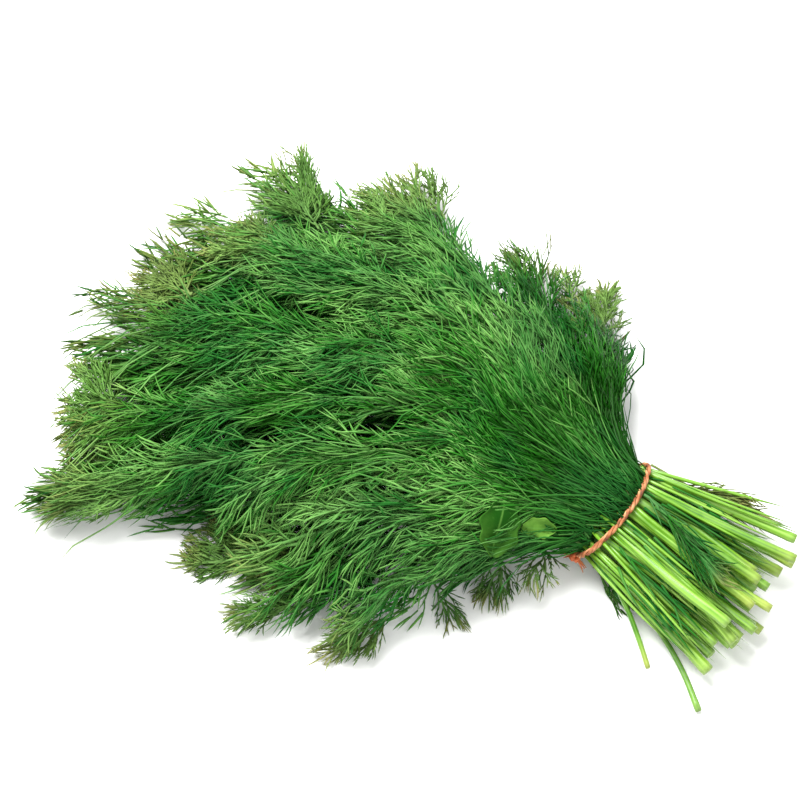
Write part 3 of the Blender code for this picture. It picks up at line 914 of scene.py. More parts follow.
@dataclass
class Frond:
    """One dill leaf: a midrib, side ribs, their own side ribs, and thread-like leaflets."""

    name: str
    bed: FanBed | StemBed
    fullness: Fullness
    seed: int
    slot: str = "frond"
    midrib: float = 0.95 * MM
    thread: float = 0.38 * MM
    thread_length: float = 16.5 * MM
    twig_length: float = 23.0 * MM
    spread: float = math.radians(27.0)
    sweep: float = 0.0
    upward: float = 0.0
    collar: int = 0
    collar_room: float = 13.5 * MM
    strands: int = 0
    tint: float = 0.5
    dryness: float = 0.0
    clearings: tuple = ()
    sprays: tuple = ()

    def midrib_points(self, along: np.ndarray) -> np.ndarray:
        """Places on the midrib, which wanders a little from the bed's middle."""
        share = along / self.bed.length
        phase = 1.7 * self.seed
        wave = np.sin(5.0 * share + phase)
        wander = 0.16 * self.bed.half_width(along) * wave * np.clip(4.0 * share, 0.0, 1.0)
        rise = 0.3 * self.bed.half_depth(along) * np.sin(4.0 * share + 0.6 * phase)
        rise -= 0.5 * self.upward * self.bed.half_depth(along)
        return np.stack((along, wander, rise * np.clip(5.0 * share, 0.0, 1.0)), axis=-1)

    def side_ribs(self, chance: np.random.Generator) -> Twigs:
        """Grows the side ribs of the midrib, to both sides and through the depth of the bed.

        Args:
            chance: the source of variation.

        Returns:
            The side ribs.
        """
        spacing = self.fullness.value[0]
        count = max(4, int(self.bed.length / spacing * 2.0))
        along = (np.arange(count) + chance.uniform(0.1, 0.9, count)) / count * self.bed.length * 0.97
        share = along / self.bed.length
        side = np.where(np.arange(count) % 2 == 0, 1.0, -1.0)
        angle = self.spread * (1.2 - 0.55 * share) * chance.uniform(0.6, 1.3, count)
        room = self.bed.half_width(along + 0.8 * self.bed.half_width(along)) - 3.0 * MM
        size = room * chance.uniform(0.5, 1.15, count) / np.sin(angle)
        size = np.minimum(size, (self.bed.length + self.bed.slack - along) / np.cos(angle))
        size = np.clip(size, min(12.0 * MM, 0.4 * self.bed.length), 70.0 * MM)
        start = self.midrib_points(along)
        deep = self.bed.half_depth(along + 0.7 * size)
        climb = chance.uniform(-1.0, 1.0, count) * deep + self.upward * deep - 0.6 * start[:, 2]
        turned = side * angle - self.sweep * share * chance.uniform(0.2, 0.8, count)
        flat = np.stack((np.cos(turned), np.sin(turned), np.zeros(count)), axis=-1)
        swung = (chance.normal(0.0, 0.10, count) - side * 0.14 - 0.5 * self.sweep * share) * size
        end = start + flat * size[:, None] + np.stack((0.05 * size, swung, climb), axis=-1)
        lifted = np.stack((np.zeros(count),) * 2 + (0.65 * climb,), axis=-1)
        bend = start + flat * (0.55 * size)[:, None] + lifted
        face = unit(np.stack((-0.2 * climb / size, chance.normal(0.0, 0.3, count), np.ones(count)), axis=-1))
        tint = self.tint + chance.normal(0.0, 0.17, count)
        return Twigs(start, bend, end, face, np.full(count, 0.52 * MM), tint, np.full(count, 0.2))

    def collar_ribs(self, chance: np.random.Generator) -> Twigs:
        """Grows short ribs that cover the stems between the tie and the frond.

        Args:
            chance: the source of variation.

        Returns:
            The ribs, which lie on the outside of the neck.
        """
        count = self.collar
        along = chance.uniform(-1.0, 1.0, count) * self.collar_room + 2.0 * MM
        half = self.bed.half_width(along) * 1.3
        across = chance.uniform(-1.0, 1.0, count) * half
        top = self.bed.half_depth(along) * 0.9
        start = np.stack((along, across, top + chance.uniform(-1.0, 1.6, count) * MM), axis=-1)
        turn = np.arctan2(across, 60.0 * MM) + chance.normal(0.0, 0.2, count)
        size = chance.uniform(30.0, 56.0, count) * MM
        flat = np.stack((np.cos(turn), np.sin(turn), chance.uniform(0.0, 0.12, count)), axis=-1)
        end = start + flat * size[:, None]
        bend = (start + end) / 2.0 + np.stack((np.zeros(count),) * 2 + (0.06 * size,), axis=-1)
        tilts = (chance.normal(0.0, 0.2, count), chance.normal(0.0, 0.3, count), np.ones(count))
        face = unit(np.stack(tilts, axis=-1))
        tint = self.tint + 0.05 + chance.normal(0.0, 0.13, count)
        return Twigs(start, bend, end, face, np.full(count, 0.45 * MM), tint, np.full(count, 0.08))

    def trimmed(self, twigs: Twigs, slack: float) -> Twigs:
        """Leaves out the twigs that would end outside the frond's own room or be in a clearing.

        Args:
            twigs: the twigs, in the flat frond.
            slack: how far outside they may end.

        Returns:
            The other twigs.
        """
        along, across, up = twigs.end.T
        fits = along < self.bed.length + self.bed.slack + slack
        fits &= np.abs(up) < self.bed.half_depth(along) + slack
        fits &= np.abs(across) < self.bed.half_width(along) + slack
        return self.clear_of_notches(twigs.kept(fits))

    def clear_of_notches(self, twigs: Twigs) -> Twigs:
        """Leaves out the twigs that would be in a clearing."""
        count = len(twigs.radius)
        clear = np.ones(count, bool)
        for share in (0.3, 0.65, 1.0):
            laid = self.bed.lay(twigs.points(np.arange(count), np.full(count, share)))
            for clearing in self.clearings:
                clear &= ~clearing.covers(laid)
        return twigs.kept(clear)

    def midrib_twigs(self) -> Twigs:
        """The midrib as a chain of twigs, each a little thinner than the last."""
        count = max(5, int(self.bed.length / (9.0 * MM)))
        edges = np.linspace(-2.0 * MM, self.bed.length, count + 1)
        points = self.midrib_points(edges)
        radius = self.midrib * (1.0 - 0.8 * np.linspace(0.0, 1.0, count) ** 0.8)
        up = np.tile((0.0, 0.0, 1.0), (count, 1))
        overlap = points[1:] + 0.12 * (points[1:] - points[:-1])
        tint = np.full(count, self.tint)
        middle = (points[:-1] + overlap) / 2.0
        return Twigs(points[:-1], middle, overlap, up, radius, tint, np.full(count, 0.35))

    def neck_strands(self, chance: np.random.Generator) -> Twigs:
        """Grows single long threads that lie along the outside of the neck, up to the tie.

        Args:
            chance: the source of variation.

        Returns:
            The threads.
        """
        count = self.strands
        along = 40.0 * MM * chance.uniform(0.0, 1.0, count) ** 1.7 - self.collar_room
        across = chance.uniform(-1.05, 1.05, count) * self.bed.half_width(along)
        top = self.bed.half_depth(along) * chance.uniform(0.4, 1.1, count)
        start = np.stack((along, across, top), axis=-1)
        turn = np.arctan2(across, 70.0 * MM) + chance.normal(0.0, 0.36, count)
        size = chance.uniform(14.0, 40.0, count) * MM
        flat = np.stack((np.cos(turn), np.sin(turn), chance.normal(0.03, 0.05, count)), axis=-1)
        end = start + flat * size[:, None]
        swung = 0.26 * size * chance.normal(0.0, 1.0, count)
        curve = np.stack((np.zeros(count), swung, 0.05 * size), axis=-1)
        bend = (start + end) / 2.0 + curve
        face = np.tile((0.0, 0.0, 1.0), (count, 1))
        tint = self.tint + chance.normal(0.0, 0.24, count)
        radius = self.thread * chance.uniform(0.85, 1.2, count)
        return Twigs(start, bend, end, face, radius, tint, np.full(count, 0.02))

    def grown(self, spikes: "Spikes") -> tuple:
        """Grows the frond and lays it in its bed.

        Args:
            spikes: the spikes that are bent along its twigs.

        Returns:
            The frond's shape and its growth values.
        """
        chance = np.random.default_rng(self.seed)
        _, rib_spacing, thread_spacing = self.fullness.value
        ribs = self.side_ribs(chance)
        if self.collar:
            ribs = joined_twigs([ribs, self.collar_ribs(chance)])
        ribs = self.clear_of_notches(ribs)
        small = Branching(
            rib_spacing, 0.08, self.twig_length, 0.45, math.radians(26.0),
            0.22, 0.8, 0.30, 0.13, 0.44 * MM, 0.10,
        ).grow(ribs, chance)
        small = self.trimmed(small, 3.0 * MM)
        threads = Branching(
            thread_spacing, 0.10, self.thread_length, 0.3, math.radians(24.0),
            0.24, 0.8, 0.22, 0.16, self.thread, 0.0,
        ).grow(small, chance)
        threads = self.trimmed(threads, 4.5 * MM)
        ranks = [
            (self.midrib_twigs(), spikes.rib, 0.86),
            (ribs, spikes.rib, 0.45),
            (small, spikes.twig, 0.55),
            (threads, spikes.thread, 0.72),
        ]
        if self.strands:
            ranks.append((self.trimmed(self.neck_strands(chance), 6.0 * MM), spikes.twig, 0.6))
        shapes = [twigs.swept(spike, tip) for twigs, spike, tip in ranks]
        growth = np.concatenate([self.growth(twigs, spike) for twigs, spike, _ in ranks])
        whole = joined_shapes(shapes)
        share = whole.points[:, 0] / self.bed.length
        edge = np.abs(whole.points[:, 1]) / np.maximum(self.bed.half_width(whole.points[:, 0]), 1.0 * MM)
        growth[:, 2] = np.clip(self.dryness + 0.75 * eased((share - 0.8) / 0.3) * growth[:, 2], 0.0, 1.0)
        # Painted light and shade: the tint is raised as painted light towards each frond's edges and tip,
        # and lowered as painted shade near the neck, where the fronds crowd together at the tie.
        lit = 0.10 * eased(edge - 0.6) + 0.07 * eased((share - 0.55) / 0.45)
        painted_light_and_shade = lit - 0.40 * eased((0.42 - share) / 0.42)
        growth[:, 0] = np.clip(growth[:, 0] + painted_light_and_shade, 0.0, 1.0)
        whole.points = self.bed.lay(whole.points)
        return whole, growth

    def build(self, spikes: "Spikes") -> bpy.types.Object:
        """Grows the frond and its sprays and makes their piece.

        Args:
            spikes: the spikes that are bent along its twigs.

        Returns:
            The frond's object.
        """
        parts = [frond.grown(spikes) for frond in (self, *self.sprays)]
        whole = joined_shapes([shape for shape, _ in parts])
        growth = np.concatenate([values for _, values in parts])
        made = make_piece(self.name + "_leaflets", whole, growth)
        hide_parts(self.name)
        return made

    def growth(self, twigs: Twigs, spike: Shape) -> np.ndarray:
        """Colour values of a rank of twigs: tint, how rib-like it is, and how likely to be dry."""
        corners = len(spike.points)
        along = np.tile(spike.points[:, 2], len(twigs.tint))
        tint = np.repeat(twigs.tint, corners) + 0.16 * (along - 0.4)
        pale = np.repeat(twigs.pale, corners)
        dry = np.repeat(np.modf(np.abs(twigs.tint) * 37.0)[0], corners)
        return np.stack((tint, pale, dry), axis=-1)


@dataclass(frozen=True)
class Spikes:
    """The three spikes that every twig is bent from, thickest first."""

    rib: Shape
    twig: Shape
    thread: Shape


def joined_twigs(ranks: list) -> Twigs:
    """Joins several ranks of twigs into one."""
    return Twigs(*(np.concatenate([getattr(rank, name) for rank in ranks]) for name in TWIG_FIELDS))


def joined_shapes(shapes: list) -> Shape:
    """Joins several shapes into one."""
    points, faces, before = [], [], 0
    for shape in shapes:
        points.append(shape.points)
        faces.append(np.array(shape.faces) + before)
        before += len(shape.points)
    return Shape(np.concatenate(points), list(np.concatenate(faces)))


# ---------------------------------------------------------------- stems


@dataclass
class StemBlank:
    """A stem with a hollowed cut end, modelled once along Z from 0 to 1; its ridges are given when it is
    bent into place.
    """

    sides: int = 20
    steps: int = 30
    ridge: float = 0.055
    rim: float = 0.22
    hollow: float = 0.012

    def model(self) -> Shape:
        """Models the stem: a ridged round drawn out step by step, its last face inset and sunk.

        Returns:
            The stem's shape, with its cut end at Z = 1.
        """
        deselect()
        bpy.ops.mesh.primitive_circle_add(vertices=self.sides, radius=1.0, fill_type="NGON")
        bpy.ops.object.mode_set(mode="EDIT")
        bpy.ops.mesh.select_all(action="SELECT")
        for _ in range(self.steps):
            bpy.ops.mesh.extrude_region_move(TRANSFORM_OT_translate={"value": (0.0, 0.0, 1.0 / self.steps)})
        bpy.ops.mesh.inset(thickness=self.rim, depth=0.0)
        bpy.ops.mesh.inset(thickness=0.3, depth=-self.hollow)
        bpy.ops.mesh.select_all(action="SELECT")
        bpy.ops.mesh.normals_make_consistent(inside=False)
        bpy.ops.object.mode_set(mode="OBJECT")
        return Shape.taken_from(bpy.context.object)


@dataclass
class Stem:
    """One cut stem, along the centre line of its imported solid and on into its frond."""

    name: str
    seed: int
    pale: float = 0.0

    def build(self, blank: Shape) -> bpy.types.Object:
        """Bends the blank along the stem's line and makes its piece.

        Args:
            blank: the stem that was modelled once.

        Returns:
            The stem's object.
        """
        chance = np.random.default_rng(self.seed)
        rings = rings_of(self.name, 0)
        centres = np.array([ring.mean(axis=0) for ring in rings])
        radii = np.array([np.linalg.norm(ring - c, axis=1).max() for ring, c in zip(rings, centres)])
        radii = np.minimum(radii, np.median(radii) * 1.25) * chance.uniform(0.74, 1.0)
        length = np.concatenate(([0.0], np.cumsum(np.linalg.norm(np.diff(centres, axis=0), axis=1))))
        share = blank.points[:, 2]
        fine = np.linspace(0.0, length[-1], 60)
        line = np.stack([np.interp(fine, length, centres[:, k]) for k in range(3)], axis=-1)
        for _ in range(6):
            line[1:-1] += 0.25 * (line[:-2] - 2.0 * line[1:-1] + line[2:])
        at = np.clip(share, 0.0, 1.0) * (len(line) - 1)
        steps = np.arange(len(line))
        middle = np.stack([np.interp(at, steps, line[:, k]) for k in range(3)], axis=-1)
        slopes = unit(np.gradient(line, axis=0))
        ahead = unit(np.stack([np.interp(at, steps, slopes[:, k]) for k in range(3)], axis=-1))
        across = unit(np.cross(ahead, (0.0, 0.0, 1.0)))
        up = np.cross(across, ahead)
        radius = np.interp(share * length[-1], length, radii)
        round_at = np.arctan2(blank.points[:, 1], blank.points[:, 0])
        twist = chance.uniform(0.0, 6.0) + chance.normal(0.0, 0.5) * share
        ridges = np.cos(7.0 * round_at)
        size = np.hypot(blank.points[:, 0], blank.points[:, 1])
        foot = 0.10 * np.exp(-(((share - 0.97) / 0.03) ** 2))
        swell = 1.0 + 0.05 * ridges + 0.05 * np.sin(9.0 * share + self.seed) + foot
        angle = round_at + twist
        round_it = np.cos(angle)[:, None] * across + np.sin(angle)[:, None] * up
        offset = (radius * size * swell)[:, None] * round_it
        points = middle + offset
        points[:, 0] += (share - np.clip(share, 0.0, 1.0)) * length[-1]
        growth = np.stack(
            (
                np.clip(0.20 + 0.40 * ridges + 0.36 * share**1.5 + self.pale, 0.0, 1.0),
                np.clip(eased((share - 0.93) / 0.07) * 0.5 + (size < 0.85) * 0.5, 0.0, 1.0),
                np.clip(0.5 * eased((share - 0.8) / 0.2) * chance.uniform(-0.4, 1.0), 0.0, 1.0),
            ),
            axis=-1,
        )
        made = make_piece(self.name + "_stalk", Shape(points, blank.faces), growth)
        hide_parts(self.name)
        return made


@dataclass
class LooseStrands:
    """Loose strands that lie between the stems, from the tie outwards: dill threads, or thin leaf stalks.

    Starts and lengths are in millimetres along the stems.
    A strand ends within a share of the stems' length.
    """

    name: str
    fan: Fan
    count: int
    radius: float
    tint: float
    starts: tuple
    lengths: tuple
    shares: tuple
    sunk: float
    widening: float
    seed: int
    cut_at: tuple = (-1.0, -0.67, -0.44, -0.22, 0.0, 0.44, 1.0)
    cut_mm: tuple = (58, 66, 72, 74, 71, 73, 72)
    spread: float = 1.66
    drift: float = -6.5 * MM
    fall: float = 0.25

    def line(self, at: np.ndarray, across: np.ndarray, up: np.ndarray) -> np.ndarray:
        """Places between the stems.

        Args:
            at: how far each place is past the tie, towards the cut ends.
            across: its place across the neck, from -1 to 1.
            up: its place up the neck, from -1 to 1.

        Returns:
            The places in the bunch's frame.
        """
        share = at / (max(self.cut_mm) * MM)
        y = self.fan.neck_half_width * across
        z = self.fan.neck_centre_height + self.fan.neck_half_height * up
        y = self.fan.neck[1] + y + share * ((self.spread - 1.0) * y + self.drift)
        return np.stack((self.fan.neck[0] + at, y, z * (1.0 - self.fall * share)), axis=-1)

    def build(self, spikes: Spikes) -> bpy.types.Object:
        """Grows the strands and makes their piece.

        Args:
            spikes: the spikes that are bent along the strands.

        Returns:
            The strands' object.
        """
        chance = np.random.default_rng(self.seed)
        count = self.count
        turn = chance.uniform(0.0, math.tau, count)
        size = np.sqrt(chance.uniform(0.0, 1.0, count))
        across, up = size * np.cos(turn), size * np.sin(turn)
        cut = np.interp(across, self.cut_at, self.cut_mm) * MM
        start = chance.uniform(*self.starts, count) * MM
        length = chance.uniform(*self.lengths, count) * MM
        end = np.minimum(start + length, cut * chance.uniform(*self.shares, count))
        turned = across * np.where(across > 0.3, self.widening, 1.0) + chance.normal(0.0, 0.10, count)
        raised = up + chance.normal(0.0, 0.10, count) - self.sunk
        near = self.line(start, across, up)
        far = self.line(end, turned, raised)
        bend = self.line((start + end) / 2.0, (across + turned) / 2.0, (up + raised) / 2.0)
        bend = bend + chance.normal(0.0, 1.1 * MM, bend.shape)
        face = np.tile((0.0, 0.0, 1.0), (count, 1))
        tint = self.tint + chance.normal(0.0, 0.2, count)
        radius = self.radius * chance.uniform(0.65, 1.3, count)
        twigs = Twigs(near, bend, far, face, radius, tint, np.zeros(count))
        whole = twigs.swept(spikes.rib, 0.55)
        whole.points = settle_on_floor(whole.points)
        along = np.tile(spikes.rib.points[:, 2], count)
        growth = np.zeros((len(along), 3))
        growth[:, 0] = np.clip(np.repeat(tint, len(spikes.rib.points)) + 0.2 * along, 0.0, 1.0)
        made = make_piece(self.name, whole, growth)
        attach(made, "root")
        return made


# ---------------------------------------------------------------- tie


@dataclass
class Tie:
    """Strands of twisted fibre round the neck, with a knot low at the side and frayed tail ends."""

    node: str = "tie"
    strands: int = 3
    strand: float = 0.62 * MM
    twist: float = 0.58 * MM
    turns: int = 11
    steps: int = 300
    knot_angle: float = math.radians(205.0)
    lean: float = 8.0 * MM

    def ring(self) -> np.ndarray:
        """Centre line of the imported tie, as points round the neck from +Y upwards."""
        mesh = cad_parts[self.node].data
        points = np.unique(np.round([vertex.co for vertex in mesh.vertices], 6), axis=0)
        fan = Fan()
        y = (points[:, 1] - fan.neck[1]) / fan.neck_half_width
        z = (points[:, 2] - fan.neck_centre_height) / fan.neck_half_height
        angle = np.arctan2(z, y) % math.tau
        bins = np.round(angle / math.tau * 40.0).astype(int) % 40
        size = np.array([np.median(np.hypot(y, z)[bins == k]) for k in range(40)])
        at = np.linspace(0.0, math.tau, 40, endpoint=False)
        near_knot = np.abs((at - self.knot_angle + math.pi) % math.tau - math.pi) < 0.5
        size[near_knot] = np.interp(at[near_knot], at[~near_knot], size[~near_knot])
        fine = np.linspace(0.0, math.tau, self.steps, endpoint=False)
        size = np.interp(fine, at, size, period=math.tau)
        for _ in range(30):
            size = (np.roll(size, 1) + size + np.roll(size, -1)) / 3.0
        return np.stack(
            (
                fan.neck[0] + self.lean * np.sin(fine),
                fan.neck[1] + fan.neck_half_width * size * np.cos(fine),
                fan.neck_centre_height + fan.neck_half_height * size * np.sin(fine),
            ),
            axis=-1,
        )

    def cord(self, points: np.ndarray, radii: np.ndarray, closed: bool, sides: int = 7) -> Shape:
        """A round strand along points.

        Args:
            points: its centre line.
            radii: its radius at each point.
            closed: whether it is a ring.
            sides: its sides.

        Returns:
            The strand's shape.
        """
        count = len(points)
        ahead = np.roll(points, -1, axis=0) - np.roll(points, 1, axis=0)
        if not closed:
            ahead[0] = points[1] - points[0]
            ahead[-1] = points[-1] - points[-2]
        ahead = unit(ahead)
        across = unit(np.cross(ahead, (1.0, 0.05, 0.02)))
        up = np.cross(across, ahead)
        turn = np.linspace(0.0, math.tau, sides, endpoint=False)
        rounds = np.cos(turn)[None, :, None] * across[:, None] + np.sin(turn)[None, :, None] * up[:, None]
        shape = (points[:, None] + radii[:, None, None] * rounds).reshape(-1, 3)
        rows = np.arange(count if closed else count - 1)
        faces = []
        for i in rows:
            for k in range(sides):
                a, b = i * sides + k, i * sides + (k + 1) % sides
                c, d = ((i + 1) % count) * sides + (k + 1) % sides, ((i + 1) % count) * sides + k
                faces += [(a, d, c), (a, c, b)]
        return Shape(shape, faces)

    def build(self) -> bpy.types.Object:
        """Twists the strands round the neck, ties the knot and makes the piece.

        Returns:
            The tie's object.
        """
        chance = np.random.default_rng(5)
        ring = self.ring()
        ahead = unit(np.roll(ring, -1, axis=0) - np.roll(ring, 1, axis=0))
        across = unit(np.cross(ahead, (1.0, 0.05, 0.02)))
        up = np.cross(across, ahead)
        at = np.linspace(0.0, math.tau, self.steps, endpoint=False)
        shapes, growth = [], []
        for k in range(self.strands):
            turn = at * self.turns + k * math.tau / self.strands + 0.5 * np.sin(3.0 * at + k)
            line = ring + self.twist * (np.cos(turn)[:, None] * across * 1.1 + np.sin(turn)[:, None] * up)
            radii = self.strand * (1.0 + 0.2 * np.sin(11.0 * at + 2.0 * k))
            shape = self.cord(line, radii, closed=True)
            near = np.abs((at - self.knot_angle + math.pi) % math.tau - math.pi)
            # Light and dark bands along each strand: partly the fibre's own tone and partly painted light
            # and shade of its twist.
            shade = 0.42 + 0.3 * np.sin(23.0 * at + 1.9 * k) + 0.16 * (k - 1)
            knot = 1.0 - eased(near / 0.3)
            values = np.stack((shade, knot, np.zeros(self.steps)), axis=-1)
            shapes.append(shape)
            growth.append(np.repeat(np.clip(values, 0.0, 1.0), 7, axis=0))
        for shape, values in self.knot_and_tails(ring, chance):
            shapes.append(shape)
            growth.append(values)
        made = make_piece("tie_strands", joined_shapes(shapes), np.concatenate(growth))
        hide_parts(self.node)
        return made

    def knot_and_tails(self, ring: np.ndarray, chance: np.random.Generator) -> list:
        """The knot's two loops, one through the other, and the frayed ends of the strands.

        Args:
            ring: the tie's centre line.
            chance: the source of variation.

        Returns:
            Pairs of shape and colour values.
        """
        centre = ring[round(self.knot_angle / math.tau * self.steps)]
        outward = Vector(centre) - Vector((centre[0], Fan().neck[1], Fan().neck_centre_height))
        outward = np.array(outward.normalized())
        side = np.array((1.0, 0.0, 0.0))
        up = np.cross(outward, side)
        seat = centre + 1.5 * MM * outward
        made = []
        turn = np.linspace(0.0, math.tau, 44, endpoint=False)
        for tilt in (0.5, -0.9, 1.9):
            first = math.cos(tilt) * side + math.sin(tilt) * up
            second = 0.75 * outward + 0.5 * (math.cos(tilt) * up - math.sin(tilt) * side)
            loop = seat + 1.7 * MM * (np.cos(turn)[:, None] * first + np.sin(turn)[:, None] * second)
            loop += 0.35 * MM * np.sin(3.0 * turn + tilt)[:, None] * outward
            shape = self.cord(loop, np.full(len(turn), 0.85 * MM), closed=True)
            values = np.tile((0.4 + 0.2 * tilt, 0.85, 0.0), (len(shape.points), 1))
            made.append((shape, np.clip(values, 0.0, 1.0)))
        for k in range(9):
            length = chance.uniform(4.0, 8.5) * MM
            sign = -1.0 if k % 2 else 1.0
            share = np.linspace(0.0, 1.0, 9)[:, None]
            sweep = sign * side * (0.7 + 0.1 * k / 9.0) + outward * chance.uniform(0.05, 0.4)
            sweep = sweep - up * chance.uniform(-0.2, 0.5) * sign
            line = seat + share * length * sweep + share**2 * length * np.array((0.0, 0.0, -0.45))
            radii = np.linspace(0.5, 0.16, 9) * MM
            shape = self.cord(line, radii, closed=False, sides=5)
            colour = (chance.uniform(0.3, 0.8), chance.uniform(0.2, 0.8), 0.0)
            values = np.tile(colour, (len(shape.points), 1))
            made.append((shape, values))
        return made


# ---------------------------------------------------------------- flat leaves


def over_leaf(node: str, share: float) -> Clearing:
    """Gives the clearing that keeps twigs off a flat leaf.

    Args:
        node: the leaf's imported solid.
        share: the clearing's size against the leaf's.

    Returns:
        The clearing.
    """
    points = np.array([vertex.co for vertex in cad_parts[node].data.vertices])
    middle = points.mean(axis=0)
    _, _, axes = np.linalg.svd(points[:, :2] - middle[:2])
    halves = [share * np.ptp(points[:, :2] @ axis) / 2.0 for axis in axes]
    turned = math.atan2(axes[0][1], axes[0][0])
    return Clearing(tuple(middle[:2]), tuple(halves), turned, points[:, 2].min() - 4.0 * MM)


@dataclass
class FlatLeaf:
    """A flat lobed leaf that lies on the foliage beside the tie."""

    node: str
    lobes: float
    seed: int
    tint: float
    share: float = 1.0
    slide: float = 0.0
    rise: float = 0.5 * MM

    def build(self) -> bpy.types.Object:
        """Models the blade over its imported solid: a grid cut to a lobed outline, with sunk veins.

        Returns:
            The leaf's object.
        """
        rows, columns = 40, 24
        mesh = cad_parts[self.node].data
        points = np.unique(np.round([vertex.co for vertex in mesh.vertices], 6), axis=0)
        centre = points.mean(axis=0)
        _, _, axes = np.linalg.svd(points - centre)
        along, across, up = axes
        up = up if up[2] > 0 else -up
        if (along[1] > 0) == (self.node == "flat_leaf_large"):
            along = -along
        across = np.cross(up, along)
        half = self.share * np.ptp(points @ along) / 2.0
        wide = np.ptp(points @ across) / 2.0
        deselect()
        bpy.ops.mesh.primitive_grid_add(x_subdivisions=rows, y_subdivisions=columns, size=2.0)
        blade = Shape.taken_from(bpy.context.object)
        u = blade.points[:, 0]
        v = blade.points[:, 1]
        share = (u + 1.0) / 2.0
        outline = np.sin(math.pi * np.clip(0.06 + 0.93 * share, 0.0, 1.0)) ** 0.65
        teeth = 1.0 + self.lobes * np.sin(share * 17.0 + 0.7 * np.sign(v) + self.seed) * np.abs(v)
        y = v * outline * teeth * wide
        veins = np.minimum(np.abs(v), np.abs(((share * 6.0 - 1.1 * np.abs(v)) % 1.0) - 0.5) + 0.06)
        cupped = 0.14 * wide * v**2 * np.sign(self.lobes)
        z = cupped + 0.5 * MM * np.sin(6.0 * share + 3.0 * v) - 0.25 * MM * eased(0.1 - veins)
        middle = centre + self.slide * along + self.rise * up
        place = middle + u[:, None] * half * along + y[:, None] * across + z[:, None] * up
        # Painted shade: the blade's tint falls towards one end, which on the large leaf is the end shaded by
        # the fronds over it; it rises towards the edges.
        growth = np.stack(
            (
                np.clip(self.tint + 0.3 * (share - 0.5) + 0.15 * np.abs(v), 0.0, 1.0),
                0.75 * eased(1.0 - veins / 0.09),
                np.zeros(len(u)),
            ),
            axis=-1,
        )
        made = make_piece(self.node + "_blade", Shape(place, blade.faces), growth)
        bpy.context.view_layer.objects.active = made
        thick = made.modifiers.new("thickness", "SOLIDIFY")
        thick.thickness = 0.35 * MM
        bpy.ops.object.modifier_apply(modifier=thick.name)
        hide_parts(self.node)
        return made


# ---------------------------------------------------------------- the bunch


@dataclass(frozen=True)
class Habit:
    """How the fronds of one column of the fan grow."""

    sweep: float
    tint: float
    spill: float
    slack: float
    lean: float = 0.0


@dataclass(frozen=True)
class SprayKind:
    """How the small fronds of a spray are grown, and how high they lie in the bed that carries them."""

    fullness: Fullness
    midrib: float
    thread: float
    thread_length: float
    twig_length: float
    spread: float
    deep: float
    base_height: float
    tip_height: float


AT_THE_RIM = SprayKind(
    Fullness.SPRAY, 0.55 * MM, 0.3 * MM, 6.0 * MM, 11.0 * MM, math.radians(32.0), 0.55, 0.0, -4.0 * MM
)
LYING_LOOSE = SprayKind(
    Fullness.LOOSE, 0.9 * MM, 0.38 * MM, 15.0 * MM, 22.0 * MM, math.radians(26.0), 0.13, 3.0 * MM, 5.0 * MM
)
NEVER_DRY = -0.8
OUTER_SHORTER = 0.16  # share by which a spray's fronds get shorter away from its middle


@dataclass(frozen=True)
class Spray:
    """Small fronds that stand out from a larger one together, placed by that frond's own length and width.

    The share is along the frond, aside is in its half widths, and the turn is from its heading, in degrees.
    """

    host: str
    share: float
    aside: float
    turn: float
    length: float
    half_width: float
    count: int = 1
    fanned: float = 26.0
    tint: float = 0.62
    dryness: float = 0.16
    loose: bool = False

    def fronds(self, bed: FanBed | StemBed, seed: int) -> list:
        """Plans the small fronds.

        Args:
            bed: the bed of the frond that carries them.
            seed: for their variation.

        Returns:
            The small fronds.
        """
        along = self.share * bed.length
        across = self.aside * float(bed.half_width(np.array(along)))
        kind = LYING_LOOSE if self.loose else AT_THE_RIM
        made = []
        for number in range(self.count):
            shift = number - (self.count - 1) / 2.0
            turned = math.radians(self.turn + self.fanned * shift)
            length = self.length * MM * (1.0 - OUTER_SHORTER * abs(shift))
            tip = (along + length * math.cos(turned), across + length * math.sin(turned), kind.tip_height)
            ends = bed.lay(np.array(((along, across, kind.base_height), tip)))
            made.append(
                Frond(
                    self.host,
                    LineBed(ends[0], ends[1], self.half_width * MM, kind.deep),
                    kind.fullness,
                    seed + number,
                    midrib=kind.midrib,
                    thread=kind.thread,
                    thread_length=kind.thread_length,
                    twig_length=kind.twig_length,
                    spread=kind.spread,
                    tint=self.tint,
                    dryness=NEVER_DRY if self.loose else self.dryness,
                )
            )
        return made


@dataclass(frozen=True)
class Gap:
    """An oval gap in the foliage: columns count from 1, and the share is of the fan's reach there.

    Its sizes are half sizes in millimetres, and it is turned from the growth line, in degrees.
    """

    column: float
    share: float
    long: float
    short: float
    turn: float = 0.0
    aside: float = 0.0

    def clearing(self, fan: Fan, above: float) -> Clearing:
        """Works out the clearing from the growth line that the gap lies on.

        Args:
            fan: the fan of foliage.
            above: the height that it starts from.

        Returns:
            The clearing.
        """
        lateral = (self.column - 0.5) * 2.0 / len(fan.columns) - 1.0
        distance = self.share * float(np.interp(lateral, fan.reach_at, fan.reach_mm)) * MM
        here, ahead = fan.plan(np.array((distance, distance + 5.0 * MM)), np.full(2, lateral))
        heading = unit(ahead - here)
        middle = here + self.aside * MM * np.array((heading[1], -heading[0]))
        turned = math.atan2(heading[1], heading[0]) + math.radians(self.turn)
        return Clearing(tuple(middle), (self.long * MM, self.short * MM), turned, above)


